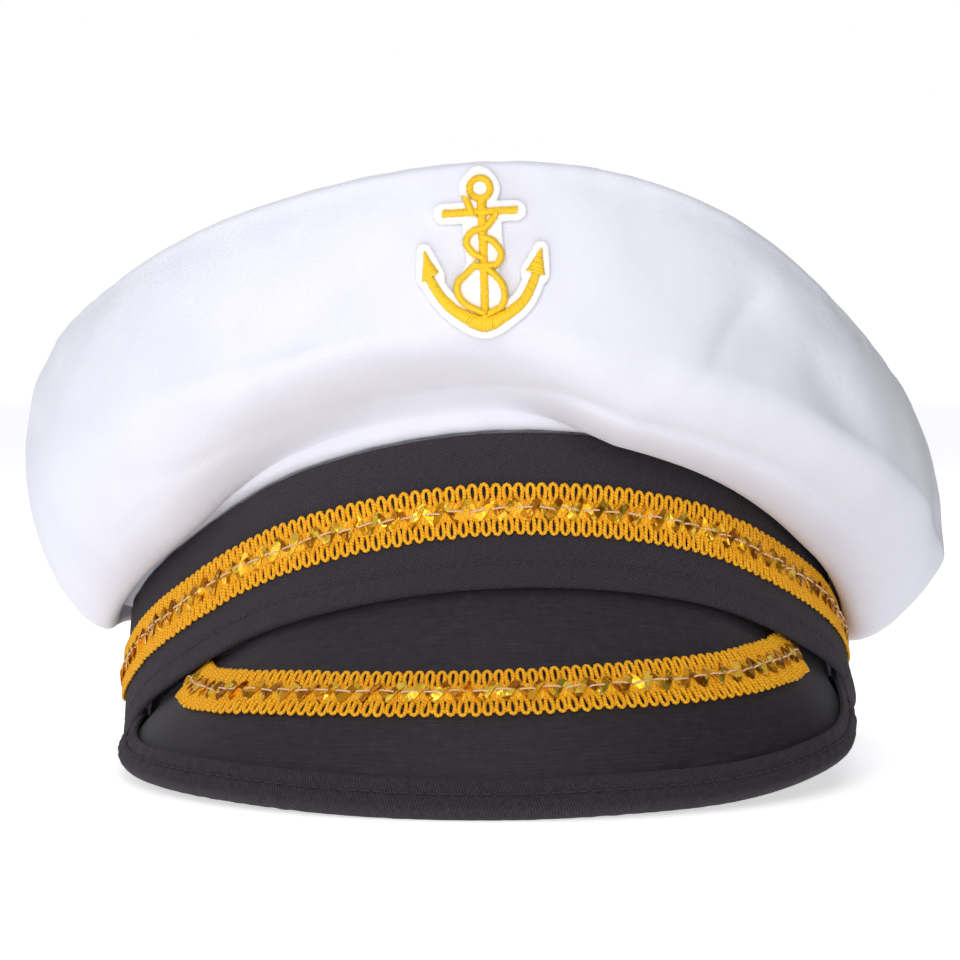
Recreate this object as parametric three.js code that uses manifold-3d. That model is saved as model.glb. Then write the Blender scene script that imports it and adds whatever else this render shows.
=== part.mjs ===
// Captain's hat: a soft white crown on a black headband, a stiff black peak, gold braid, an anchor badge.
// Millimetres, +Z up, the front faces -Y. The hat rests on the floor at z = 0, on the back of its band and
// on the front edge of its peak, which holds the band up over the forehead.
import * as THREE from 'three';
import { mergeVertices } from 'three/addons/utils/BufferGeometryUtils.js';
import Module from 'manifold-3d';

// Driving dimensions
const HEAD_WIDTH = 192.5;      // across the band at its hem, side to side
const HEAD_DEPTH = 198;        // across the band at its hem, front to back
const BAND_HEIGHT = 37;
const BAND_WALL = 2;
const ARCH = 49.2;             // how far the hem rises over the forehead
const SEAM = 6;                // how far crown and peak reach up or down inside the band
const WALL_HEIGHT = 62.6;      // crown wall at the front, above the band
const OVERHANG = 26;           // how far the crown stands out past the band
const SAG = 40;                // how far the blown-out cloth pulls down over the band's top edge
const STRIP = 5;               // the taut strip of crown cloth just above the band
const CLOTH = 1.5;             // thickness of the padded crown cloth
const DOME = 9;                // rise of the top panel above a film stretched across its rim
const DENT = 5;                // depth of the deepest dent in the crown
const SIDE_SEAM = 102;         // degrees from the front to the crown's side seams
const PEAK_REACH = 36;         // from the front of the hem forward to the peak's edge
const PEAK_SET_IN = 6.5;       // the peak's edge is an arc of the head's half width less this
const PEAK_THICKNESS = 2.4;
const PEAK_BULGE = 0.07;       // bulge of the peak, as a share of its width
const CORNER_SKIVE = 0.6;      // thickness left at the peak's corners, where they turn up into the band
const PEAK_SPAN = 73;          // degrees of the band that the peak takes up, to each side of the front
const BINDING_WIDTH = 6.6;
const BINDING_WALL = 1.2;
const BRAID_WIDTH = 12.8;
const BRAID_THICKNESS = 1.3;
const BRAID_RISE = 12.1;       // from the hem up to the lower edge of the band's braid
const BADGE_HEIGHT = 36.4;
const BADGE_X = -1.8;          // middle of the badge, to the side of the hat's middle
const BADGE_DROP = 20.95;      // middle of the badge, below the front of the crown's rim
const FELT = 1.0;
const FELT_MARGIN = 1.6;       // how far the felt stands out round the anchor
const STITCH_RELIEF = 0.9;     // height of the embroidery above the felt
const GAP = 0.3;               // clearance between pieces that touch on the real hat

// Fineness of the faceted surfaces
const AROUND = 60;
const WALL_ROWS = 12;
const SEAM_ROWS = 1;
const TOP_RINGS = 6;
const FILM_WAVES = 5;
const PEAK_COLUMNS = 38;
const PEAK_ROWS = 4;
const PEAK_END = 0.985;        // the solid peak stops this far along, where it is wide enough to close
const STROKE_STEPS = 2;
const RING_STEPS = 14;
const TOP_CROWDING = 1.3;      // how strongly the top panel's rings crowd towards the rim
const PEAK_CROWDING = 0.9;     // how strongly the peak's sections crowd towards its ends
const RIM_PLAY = 1.2;          // flat facets need this many gaps in the mitre at the rim
const BINDING_PLAY = 1.6;      // this many inside the binding
const BADGE_PLAY = 1.5;        // and this many behind the badge
const TURN = 360;

// The band, round the head. Azimuth in degrees from the front, hem rise as a share of ARCH,
// lean in degrees, positive where the top edge leans inwards.
const BAND_SECTIONS = [
  { azimuth: -150, rise: 0, lean: 2 },
  { azimuth: -120, rise: 0, lean: 2 },
  { azimuth: -90, rise: 0, lean: 3 },
  { azimuth: -60, rise: 0.395, lean: 10 },
  { azimuth: -30, rise: 0.815, lean: 12 },
  { azimuth: 0, rise: 1, lean: 12 },
  { azimuth: 30, rise: 0.92, lean: 15 },
  { azimuth: 60, rise: 0.585, lean: 17 },
  { azimuth: 90, rise: 0.205, lean: 12 },
  { azimuth: 120, rise: 0.02, lean: 4 },
  { azimuth: 150, rise: 0, lean: 2 },
  { azimuth: 180, rise: 0, lean: 2 },
];

// The crown wall, round the head. Rim and widest line: how far out as a share of OVERHANG, how high above
// the band's top edge as a share of WALL_HEIGHT. Sag as a share of SAG.
const CROWN_SECTIONS = [
  { azimuth: -150, rimOut: 0.84, rimUp: 0.75, wideOut: 0.99, wideUp: 0.37, sag: 0.3 },
  { azimuth: -120, rimOut: 0.72, rimUp: 0.815, wideOut: 0.99, wideUp: 0.46, sag: 0.4 },
  { azimuth: -90, rimOut: 0.64, rimUp: 0.925, wideOut: 0.97, wideUp: 0.62, sag: 0.5 },
  { azimuth: -60, rimOut: 0.605, rimUp: 0.965, wideOut: 0.875, wideUp: 0.515, sag: 0.36 },
  { azimuth: -30, rimOut: 0.605, rimUp: 0.978, wideOut: 0.76, wideUp: 0.41, sag: 0.05 },
  { azimuth: 0, rimOut: 0.53, rimUp: 1, wideOut: 0.645, wideUp: 0.425, sag: 0 },
  { azimuth: 15, rimOut: 0.565, rimUp: 0.975, wideOut: 0.68, wideUp: 0.36, sag: 0.21 },
  { azimuth: 30, rimOut: 0.565, rimUp: 0.885, wideOut: 0.76, wideUp: 0.305, sag: 0.38 },
  { azimuth: 60, rimOut: 0.53, rimUp: 0.6, wideOut: 0.8, wideUp: 0.17, sag: 0.68 },
  { azimuth: 90, rimOut: 0.645, rimUp: 0.33, wideOut: 0.875, wideUp: 0.04, sag: 1 },
  { azimuth: 120, rimOut: 0.685, rimUp: 0.425, wideOut: 0.95, wideUp: 0.12, sag: 0.8 },
  { azimuth: 150, rimOut: 0.8, rimUp: 0.56, wideOut: 0.99, wideUp: 0.24, sag: 0.42 },
  { azimuth: 180, rimOut: 0.875, rimUp: 0.655, wideOut: 1.03, wideUp: 0.305, sag: 0.3 },
];

// Soft dents in the crown wall. Level from 0 at the band to 1 at the rim, spread in degrees each way,
// breadth in levels each way, slant in levels per degree, depth as a share of DENT.
const DENTS = [
  { azimuth: 31, level: 0.66, spread: 7, breadth: 0.09, slant: 0.012, depth: 1 },
  { azimuth: 45, level: 0.6, spread: 6, breadth: 0.08, slant: -0.006, depth: 0.7 },
  { azimuth: -24, level: 0.58, spread: 9, breadth: 0.07, slant: 0.01, depth: 0.4 },
  { azimuth: -54, level: 0.42, spread: 12, breadth: 0.06, slant: 0, depth: 0.5 },
  { azimuth: 102, level: 0.5, spread: 5, breadth: 0.16, slant: 0, depth: 0.7 },
  { azimuth: -101, level: 0.48, spread: 5, breadth: 0.16, slant: 0, depth: 0.7 },
  { azimuth: 165, level: 0.5, spread: 12, breadth: 0.12, slant: -0.008, depth: 0.6 },
];

// The peak's edge, from its left end to its right end. Along runs from -1 to 1, bearing in degrees round
// the middle of the edge's arc, reach as a share of that arc's radius, rise as a share of ARCH.
const PEAK_EDGE = [
  { along: -0.92, bearing: -95, reach: 1.012, rise: 0.08 },
  { along: -0.8, bearing: -80, reach: 1, rise: 0.035 },
  { along: -0.62, bearing: -60, reach: 1, rise: 0.028 },
  { along: -0.42, bearing: -40, reach: 1, rise: 0.02 },
  { along: -0.21, bearing: -20, reach: 1, rise: 0.005 },
  { along: 0, bearing: 0, reach: 1, rise: 0 },
  { along: 0.21, bearing: 20, reach: 1, rise: 0.012 },
  { along: 0.42, bearing: 40, reach: 1, rise: 0.03 },
  { along: 0.62, bearing: 60, reach: 1, rise: 0.09 },
  { along: 0.8, bearing: 80, reach: 0.985, rise: 0.15 },
  { along: 0.92, bearing: 95, reach: 0.995, rise: 0.25 },
];

// The braid across the peak, along its middle line: across runs from 0 at the hem to 1 at the peak's edge.
const PEAK_BRAID = [
  { along: -0.7, across: 0.1 },
  { along: -0.6, across: 0.31 },
  { along: -0.4, across: 0.43 },
  { along: 0, across: 0.48 },
  { along: 0.4, across: 0.41 },
  { along: 0.62, across: 0.27 },
  { along: 0.72, across: 0.12 },
];

// The anchor, in shares of BADGE_HEIGHT from its middle. Each stroke is a satin-stitched ridge.
const ANCHOR_RING = { x: -0.015, z: 0.388, radius: 0.064, width: 0.042 };
const ANCHOR_STROKES = [
  { width: [0.046, 0.046], points: [[-0.239, 0.231], [0.212, 0.256]] },
  { width: [0.06, 0.052, 0.05], points: [[-0.006, 0.325], [0.008, 0], [0.02, -0.45]] },
  { width: [0.05, 0.056, 0.066, 0.074, 0.066, 0.056, 0.046],
    points: [[-0.336, -0.15], [-0.253, -0.298], [-0.145, -0.395], [0.016, -0.461], [0.152, -0.404],
      [0.265, -0.305], [0.34, -0.13]] },
];
const ANCHOR_FLUKES = [
  [[-0.357, 0], [-0.372, -0.19], [-0.318, -0.165], [-0.267, -0.128]],
  [[0.367, 0.02], [0.27, -0.115], [0.335, -0.135], [0.39, -0.147]],
];
const ROPE_WIDTH = 0.042;
const ROPES = [
  [[0.088, 0.235], [0.022, 0.151], [-0.06, 0.121], [-0.097, 0.062], [-0.06, -0.006], [0.008, -0.043]],
  [[0, 0.091], [0.067, 0.062], [0.119, -0.013], [0.089, -0.08], [0.022, -0.087], [-0.038, -0.092]],
  [[-0.04, -0.08], [-0.104, -0.146], [-0.15, -0.198], [-0.148, -0.265], [-0.104, -0.325], [0.01, -0.385]],
  [[0.03, -0.1], [0.119, -0.191], [0.141, -0.272], [0.119, -0.34], [0.04, -0.385]],
  [[-0.1, 0.328], [-0.06, 0.225]],
];

// The felt behind the rope, down the shank: its width at each point, in the same shares.
const FELT_FIELD = {
  width: [0.24, 0.25, 0.24, 0.19, 0.27, 0.3, 0.2],
  points: [[0, 0.2], [0.005, 0.08], [0.015, -0.02], [0, -0.1], [-0.01, -0.19], [-0.005, -0.29],
    [0.01, -0.38]],
};

const rad = THREE.MathUtils.degToRad;
const clamp = THREE.MathUtils.clamp;
const lerp = THREE.MathUtils.lerp;

// A smooth value between table rows: a cubic through them, with each row's slope taken from its neighbours.
function hermite(before, from, to, after, key, name, x) {
  const span = to[key] - from[key];
  const t = (x - from[key]) / span;
  const slopeFrom = (to[name] - before[name]) / (to[key] - before[key]) * span;
  const slopeTo = (after[name] - from[name]) / (after[key] - from[key]) * span;
  const a = 2 * t ** 3 - 3 * t ** 2 + 1;
  const b = t ** 3 - 2 * t ** 2 + t;
  return a * from[name] + b * slopeFrom + (1 - a) * to[name] + (t ** 3 - t ** 2) * slopeTo;
}

// Reads a column of a table that closes on itself round the head.
function around(table, name, azimuth) {
  const first = table[0].azimuth;
  const x = THREE.MathUtils.euclideanModulo(azimuth - first, TURN) + first;
  const row = (i) => {
    const turns = Math.floor(i / table.length);
    const found = table[i - turns * table.length];
    return { azimuth: found.azimuth + TURN * turns, [name]: found[name] };
  };
  let i = 0;
  while (row(i + 1).azimuth <= x) i += 1;
  return hermite(row(i - 1), row(i), row(i + 1), row(i + 2), 'azimuth', name, x);
}

// Reads a column of a table that runs from one end to the other, with flat rows past its ends.
function alongTable(table, name, x) {
  const last = table.length - 1;
  let i = 0;
  while (i < last - 1 && table[i + 1].along < x) i += 1;
  const from = table[i];
  const to = table[i + 1];
  const before = i > 0 ? table[i - 1] : { ...from, along: 2 * from.along - to.along };
  const after = i + 2 <= last ? table[i + 2] : { ...to, along: 2 * to.along - from.along };
  return hermite(before, from, to, after, 'along', name, x);
}

function bezier(p0, p1, p2, p3, t) {
  const s = 1 - t;
  return s ** 3 * p0 + 3 * s ** 2 * t * p1 + 3 * s * t ** 2 * p2 + t ** 3 * p3;
}

// A point at a radius and a height; the plan is the head's slightly long oval.
function polar(azimuth, radius, height) {
  const stretch = HEAD_DEPTH / HEAD_WIDTH;
  return new THREE.Vector3(
    radius * Math.sin(rad(azimuth)), -radius * Math.cos(rad(azimuth)) * stretch, height);
}

// Radius and height on the band: height is measured up the band from the hem, depth inwards from its face.
function bandProfile(azimuth, up, depth) {
  const hem = Math.max(0, around(BAND_SECTIONS, 'rise', azimuth) * ARCH);
  const lean = rad(around(BAND_SECTIONS, 'lean', azimuth));
  return {
    radius: HEAD_WIDTH / 2 - up * Math.sin(lean) - depth,
    height: hem + up * Math.cos(lean),
  };
}

function bandPoint(azimuth, up, depth) {
  const at = bandProfile(azimuth, up, depth);
  return polar(azimuth, at.radius, at.height);
}

// Radius and height on the crown wall's outer face, from level -1 at the seam inside the band,
// through 0 at the band's top edge, to 1 at the rim.
const LEVEL_STRIP = 0.1;
const LEVEL_WIDE = 0.55;

// The strip just above the band: how far out and how high, in shares of STRIP, where the cloth sags
// and where it is taut. It counts as fully sagging from a quarter of SAG on.
const SAGGING_STRIP = { out: 0.5, up: 0.3 };
const TAUT_STRIP = { out: 0.16, up: 1 };
const TAUT_LIMIT = SAG / 4;

// The handles of the wall's curves, in shares of the way out and up between the lines that they join.
const TAUT_FOOT_OUT = 0.12;
const TAUT_FOOT_UP = 0.3;
const BELLY_OUT = 0.06;
const BELLY_UP = 0.15;
const TAUT_BELLY_UP = 0.6;
const SHOULDER_UP = 0.5;
const RIM_OUT = 0.8;
const RIM_UP = 0.12;

function crownProfile(azimuth, level) {
  const inside = bandProfile(azimuth, BAND_HEIGHT + GAP, BAND_WALL + GAP);
  if (level <= 0) {
    const up = BAND_HEIGHT + GAP + level * SEAM;
    return bandProfile(azimuth, up, BAND_WALL + GAP);
  }
  const top = bandProfile(azimuth, BAND_HEIGHT, 0);
  const read = (name) => around(CROWN_SECTIONS, name, azimuth);
  const sag = read('sag') * SAG;
  const taut = clamp(1 - sag / TAUT_LIMIT, 0, 1);
  const strip = {
    radius: top.radius + STRIP * lerp(SAGGING_STRIP.out, TAUT_STRIP.out, taut),
    height: top.height + STRIP * lerp(SAGGING_STRIP.up, TAUT_STRIP.up, taut),
  };
  const wide = {
    radius: HEAD_WIDTH / 2 + read('wideOut') * OVERHANG,
    height: top.height + read('wideUp') * WALL_HEIGHT,
  };
  const rim = {
    radius: HEAD_WIDTH / 2 + read('rimOut') * OVERHANG,
    height: top.height + read('rimUp') * WALL_HEIGHT,
  };
  if (level <= LEVEL_STRIP) {
    const t = level / LEVEL_STRIP;
    return { radius: lerp(inside.radius, strip.radius, t), height: lerp(inside.height, strip.height, t) };
  }
  if (level <= LEVEL_WIDE) {
    const t = (level - LEVEL_STRIP) / (LEVEL_WIDE - LEVEL_STRIP);
    const out = wide.radius - strip.radius;
    const rise = wide.height - strip.height;
    const foot = strip.height + TAUT_FOOT_UP * taut * rise - sag;
    const belly = strip.height + lerp(BELLY_UP, TAUT_BELLY_UP, taut) * rise;
    return {
      radius: bezier(
        strip.radius, strip.radius + TAUT_FOOT_OUT * taut * out, wide.radius + BELLY_OUT * out, wide.radius, t),
      height: bezier(strip.height, foot, belly, wide.height, t),
    };
  }
  const t = (level - LEVEL_WIDE) / (1 - LEVEL_WIDE);
  const out = wide.radius - rim.radius;
  const rise = rim.height - wide.height;
  return {
    radius: bezier(wide.radius, wide.radius, rim.radius + RIM_OUT * out, rim.radius, t),
    height: bezier(
      wide.height, wide.height + SHOULDER_UP * rise, rim.height - RIM_UP * rise, rim.height, t),
  };
}

// How far the dents press the wall in at one place.
function dentDepth(azimuth, level) {
  let depth = 0;
  for (const dent of DENTS) {
    const turn = THREE.MathUtils.euclideanModulo(azimuth - dent.azimuth + TURN / 2, TURN) - TURN / 2;
    const rise = level - dent.level - dent.slant * turn;
    depth += dent.depth * DENT * Math.exp(-((turn / dent.spread) ** 2) - (rise / dent.breadth) ** 2);
  }
  return depth;
}

function crownPoint(azimuth, level) {
  const at = crownProfile(azimuth, level);
  return polar(azimuth, at.radius - dentDepth(azimuth, level), at.height);
}

// Where on the crown's front face a sideways place and a height lie, found by bisection up the wall
// and a few corrections of the azimuth.
function crownFront(x, height) {
  const reach = HEAD_WIDTH / 2 + OVERHANG / 2;
  let azimuth = THREE.MathUtils.radToDeg(Math.asin(x / reach));
  let level = 0;
  for (let pass = 0; pass < 3; pass += 1) {
    let low = LEVEL_STRIP;
    let high = 1;
    for (let step = 0; step < 16; step += 1) {
      level = (low + high) / 2;
      if (crownProfile(azimuth, level).height < height) low = level;
      else high = level;
    }
    azimuth += THREE.MathUtils.radToDeg((x - crownPoint(azimuth, level).x) / reach);
  }
  return { azimuth, level };
}

// The shares along the peak between which its end moves deeper into the band, its bulge fades
// and its plate thins towards the corner.
const DEEPER = [0.45, 0.62];
const FLATTER = [0.6, 1];
const THINNER = [0.85, 0.93];

// The middle surface of the peak. Along runs from -1 to 1; across runs from -1, the top of the seam inside
// the band, through 0 at the hem, to 1 at the edge. Towards its ends the peak lies deeper inside the band,
// where the braid and the binding pass under the hem.
function peakSeat(along, up) {
  const trimmings = GAP + Math.max(BRAID_THICKNESS, BINDING_WALL) + GAP + GAP;
  const deeper = THREE.MathUtils.smoothstep(Math.abs(along), ...DEEPER) * trimmings;
  const depth = BAND_WALL + GAP + PEAK_THICKNESS / 2 + deeper;
  return bandPoint(along * PEAK_SPAN, up, depth);
}

// On its slope the bound edge hangs this far below its middle.
const EDGE_SLOPE = 0.7;
const EDGE_LIFT = EDGE_SLOPE * (PEAK_THICKNESS / 2 + GAP + BINDING_WALL);

// The line on which the peak bends out of its seam lies this far below the hem.
const SEAT_DROP = 1;

// Past the ends of its table the peak's edge turns in and then up, into the band: how far along that way,
// and between which shares of it the edge goes in and up.
const TUCK_IN = [0, 0.7];
const TUCK_UP = [0.3, 1];

function peakTuck(along) {
  const last = PEAK_EDGE[PEAK_EDGE.length - 1].along;
  return clamp((Math.abs(along) - last) / (1 - last), 0, 1);
}

function peakBend(along) {
  return lerp(-SEAT_DROP, SEAM / 2 + SEAT_DROP, THREE.MathUtils.smoothstep(peakTuck(along), 0, 1));
}

function peakEdge(along) {
  const first = PEAK_EDGE[0].along;
  const last = PEAK_EDGE[PEAK_EDGE.length - 1].along;
  const inside = clamp(along, first, last);
  const arc = HEAD_WIDTH / 2 - PEAK_SET_IN;
  const bearing = rad(alongTable(PEAK_EDGE, 'bearing', inside));
  const reach = alongTable(PEAK_EDGE, 'reach', inside) * arc;
  const rise = alongTable(PEAK_EDGE, 'rise', inside) * ARCH;
  const middle = -HEAD_DEPTH / 2 - PEAK_REACH + arc;
  const edge = new THREE.Vector3(
    reach * Math.sin(bearing), middle - reach * Math.cos(bearing), rise + EDGE_LIFT);
  const end = peakSeat(Math.sign(along), SEAM / 2);
  const inwards = THREE.MathUtils.smoothstep(peakTuck(along), ...TUCK_IN);
  const upwards = THREE.MathUtils.smoothstep(peakTuck(along), ...TUCK_UP);
  return new THREE.Vector3(
    lerp(edge.x, end.x, inwards), lerp(edge.y, end.y, inwards), lerp(edge.z, end.z, upwards));
}

function peakPoint(along, across) {
  const bend = peakBend(along);
  if (across <= 0) return peakSeat(along, lerp(bend, SEAM, -across));
  const seat = peakSeat(along, bend);
  const edge = peakEdge(along);
  const width = seat.distanceTo(edge);
  const bulge = PEAK_BULGE * width * (1 - THREE.MathUtils.smoothstep(Math.abs(along), ...FLATTER));
  const outward = polar(along * PEAK_SPAN, 1, EDGE_SLOPE).normalize();
  const middle = seat.clone().lerp(edge, 0.5).addScaledVector(outward, bulge);
  const s = 1 - across;
  return seat.multiplyScalar(s * s).addScaledVector(middle, 2 * s * across)
    .addScaledVector(edge, across * across);
}

// The unit normal of a surface of two parameters, from small steps along each.
function surfaceNormal(surface, u, v, stepU, stepV) {
  const du = surface(u + stepU, v).sub(surface(u - stepU, v));
  const dv = surface(u, v + stepV).sub(surface(u, v - stepV));
  return du.cross(dv).normalize();
}

// Gathers faces on shared vertices and hands back a plain geometry.
class Faces {
  constructor() {
    this.points = [];
    this.index = [];
  }

  add(point) {
    this.points.push(point.x, point.y, point.z);
    return this.points.length / 3 - 1;
  }

  quad(a, b, c, d) {
    this.index.push(a, b, c, a, c, d);
  }

  triangle(a, b, c) {
    this.index.push(a, b, c);
  }

  geometry() {
    const made = new THREE.BufferGeometry();
    made.setAttribute('position', new THREE.Float32BufferAttribute(this.points, 3));
    made.setIndex(this.index);
    return made;
  }
}

// A solid swept along a row of rings with the same number of points each, clockwise seen from
// the end it starts at. Open runs are capped by fans; closed runs join up.
function sweep(rings, closed) {
  const faces = new Faces();
  const ids = rings.map((ring) => ring.map((point) => faces.add(point)));
  const sides = rings[0].length;
  const runs = closed ? rings.length : rings.length - 1;
  for (let i = 0; i < runs; i += 1) {
    const here = ids[i];
    const next = ids[(i + 1) % rings.length];
    for (let j = 0; j < sides; j += 1) {
      const k = (j + 1) % sides;
      faces.quad(here[j], next[j], next[k], here[k]);
    }
  }
  if (!closed) {
    capRing(faces, ids[0], rings[0], false);
    capRing(faces, ids[rings.length - 1], rings[rings.length - 1], true);
  }
  return faces.geometry();
}

// Closes an end ring, flattened to its own plane and cut into triangles.
function capRing(faces, ids, ring, flip) {
  const centre = ring.reduce((sum, p) => sum.add(p), new THREE.Vector3()).divideScalar(ring.length);
  const normal = new THREE.Vector3();
  ring.forEach((p, i) => {
    const q = ring[(i + 1) % ring.length];
    normal.add(p.clone().sub(centre).cross(q.clone().sub(centre)));
  });
  normal.normalize();
  const axisU = ring[0].clone().sub(centre).projectOnPlane(normal).normalize();
  const axisV = normal.clone().cross(axisU);
  const flat = ring.map((p) => {
    const arm = p.clone().sub(centre);
    return new THREE.Vector2(arm.dot(axisU), arm.dot(axisV));
  });
  for (const [a, b, c] of THREE.ShapeUtils.triangulateShape(flat, [])) {
    if (flip) faces.triangle(ids[c], ids[b], ids[a]);
    else faces.triangle(ids[a], ids[b], ids[c]);
  }
}

// Wall and top panel meet at the rim in a mitre: from the outer face to the inner one at 45 degrees.
function mitre(azimuth) {
  return polar(azimuth, -CLOTH, -CLOTH);
}

// One of the crown's two wall panels, from one side seam to the other: each ring runs up the outer face
// and back down the inner one.
function crownPanel(from, to) {
  const levels = [];
  for (let i = 0; i < SEAM_ROWS; i += 1) levels.push(-1 + i / SEAM_ROWS);
  levels.push(0, LEVEL_STRIP);
  for (let i = 1; i <= WALL_ROWS; i += 1) levels.push(lerp(LEVEL_STRIP, 1, i / WALL_ROWS));
  const slit = THREE.MathUtils.radToDeg(GAP / 2 / crownProfile(from, 0).radius);
  const steps = Math.round((to - from) / TURN * AROUND);
  const rings = [];
  for (let i = 0; i <= steps; i += 1) {
    const azimuth = clamp(lerp(from, to, i / steps), from + slit, to - slit);
    const outer = levels.map((level) => crownPoint(azimuth, level));
    const inner = levels.map((level, k) => {
      if (level === 1) return outer[k].clone().add(mitre(azimuth));
      const below = crownPoint(azimuth, levels[Math.max(k - 1, 0)]);
      const above = crownPoint(azimuth, levels[Math.min(k + 1, levels.length - 1)]);
      const side = crownPoint(azimuth + 1, level).sub(crownPoint(azimuth - 1, level));
      const normal = side.cross(above.sub(below)).normalize();
      return outer[k].clone().addScaledVector(normal, -CLOTH);
    });
    rings.push([...outer, ...inner.reverse()]);
  }
  return sweep(rings, false);
}

// Height of a film stretched across the crown's rim: each wave of the rim's height fades towards
// the middle as a power of the distance from it.
function rimWaves() {
  const waves = [];
  for (let n = 0; n <= FILM_WAVES; n += 1) {
    let cosine = 0;
    let sine = 0;
    for (let i = 0; i < AROUND; i += 1) {
      const azimuth = TURN * i / AROUND;
      const height = crownProfile(azimuth, 1).height;
      cosine += height * Math.cos(rad(n * azimuth)) * (n ? 2 : 1) / AROUND;
      sine += height * Math.sin(rad(n * azimuth)) * 2 / AROUND;
    }
    waves.push({ cosine, sine });
  }
  return waves;
}

const RIM_WAVES = rimWaves();

function filmHeight(azimuth, share) {
  return RIM_WAVES.reduce((sum, wave, n) => sum + share ** n
    * (wave.cosine * Math.cos(rad(n * azimuth)) + wave.sine * Math.sin(rad(n * azimuth))), 0);
}

// How late the dome falls off towards the rim, and how late the rim's finer waves come in.
const DOME_POWER = 2.5;
const EDGE_POWER = 8;

// A point of the top panel's outer face. Share runs from 0 in the middle to 1 at the rim.
function topPoint(azimuth, share) {
  const rim = crownProfile(azimuth, 1);
  const edge = rim.height - filmHeight(azimuth, 1);
  const dome = DOME * (1 - share ** DOME_POWER);
  const height = filmHeight(azimuth, share) + edge * share ** EDGE_POWER + dome;
  const clear = RIM_PLAY * GAP * Math.SQRT1_2;
  return polar(azimuth, (rim.radius - clear) * share, height + clear * share);
}

function crownTop() {
  const faces = new Faces();
  const outer = [];
  const inner = [];
  for (let ring = 1; ring <= TOP_RINGS; ring += 1) {
    const share = 1 - (1 - ring / TOP_RINGS) ** TOP_CROWDING;
    const rowOut = [];
    const rowIn = [];
    for (let i = 0; i < AROUND; i += 1) {
      const azimuth = TURN * i / AROUND;
      const point = topPoint(azimuth, share);
      const low = Math.max(share - 0.04, 0.001);
      const side = topPoint(azimuth + 1, share).sub(topPoint(azimuth - 1, share));
      const normal = side.cross(topPoint(azimuth, low).sub(point)).normalize();
      const below = ring === TOP_RINGS ? mitre(azimuth) : normal.multiplyScalar(-CLOTH);
      rowOut.push(faces.add(point));
      rowIn.push(faces.add(point.clone().add(below)));
    }
    outer.push(rowOut);
    inner.push(rowIn);
  }
  const crest = topPoint(0, 0);
  const middleOut = faces.add(crest);
  const middleIn = faces.add(crest.clone().setZ(crest.z - CLOTH));
  for (let i = 0; i < AROUND; i += 1) {
    const k = (i + 1) % AROUND;
    faces.triangle(middleOut, outer[0][i], outer[0][k]);
    faces.triangle(middleIn, inner[0][k], inner[0][i]);
    for (let ring = 0; ring < TOP_RINGS - 1; ring += 1) {
      faces.quad(outer[ring][i], outer[ring + 1][i], outer[ring + 1][k], outer[ring][k]);
      faces.quad(inner[ring][i], inner[ring][k], inner[ring + 1][k], inner[ring + 1][i]);
    }
    const last = TOP_RINGS - 1;
    faces.quad(outer[last][i], inner[last][i], inner[last][k], outer[last][k]);
  }
  return faces.geometry();
}

// A hoop with a four-sided section that lies on the band or is the band itself.
function hoop(low, high, depthOut, depthIn) {
  const rings = [];
  for (let i = 0; i < AROUND; i += 1) {
    const azimuth = TURN * i / AROUND;
    const middle = (low + high) / 2;
    rings.push([
      bandPoint(azimuth, low, depthOut), bandPoint(azimuth, middle, depthOut),
      bandPoint(azimuth, high, depthOut), bandPoint(azimuth, high, depthIn),
      bandPoint(azimuth, middle, depthIn), bandPoint(azimuth, low, depthIn),
    ]);
  }
  return sweep(rings, true);
}

function peakNormal(along, across) {
  const inner = clamp(along, -PEAK_END, PEAK_END);
  return surfaceNormal(peakPoint, inner, clamp(across, 0.04, 0.96), 0.01, 0.03).negate();
}

// A point at a distance out from the peak's middle surface; on the seam the way out is away from the head.
function peakSkin(along, across, out) {
  const normal = across < 0 ? polar(along * PEAK_SPAN, 1, 0).normalize() : peakNormal(along, across);
  return peakPoint(along, across).addScaledVector(normal, out);
}

// The places along the peak where its sections stand, closer together towards its ends.
function peakColumns() {
  const places = [];
  for (let i = 0; i <= PEAK_COLUMNS; i += 1) {
    const t = lerp(-1, 1, i / PEAK_COLUMNS);
    places.push(PEAK_END * lerp(t, Math.sin(t * Math.PI / 2), PEAK_CROWDING));
  }
  return places;
}

// The peak's blade and its seam inside the band, as one bent plate.
function visor() {
  const rows = [-1, -0.15];
  for (let j = 0; j <= PEAK_ROWS; j += 1) rows.push(lerp(0.04, 1, j / PEAK_ROWS));
  const rings = peakColumns().map((along) => {
    const skived = THREE.MathUtils.smoothstep(Math.abs(along), ...THINNER);
    const half = PEAK_THICKNESS / 2 * lerp(1, CORNER_SKIVE, skived);
    const outer = rows.map((across) => peakSkin(along, across, half));
    const inner = rows.map((across) => peakSkin(along, across, -half));
    return [...inner, ...outer.reverse()];
  });
  return sweep(rings, false);
}

// The bias binding: a folded strip that holds the peak's edge between its two leaves. Its fold is
// rounded by one corner on each side. At the peak's narrow ends its leaves stop short of the seam.
const FOLD_CORNER = { out: 0.7, up: 0.6 };
const LEAF_STOP = 0.25;

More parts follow.
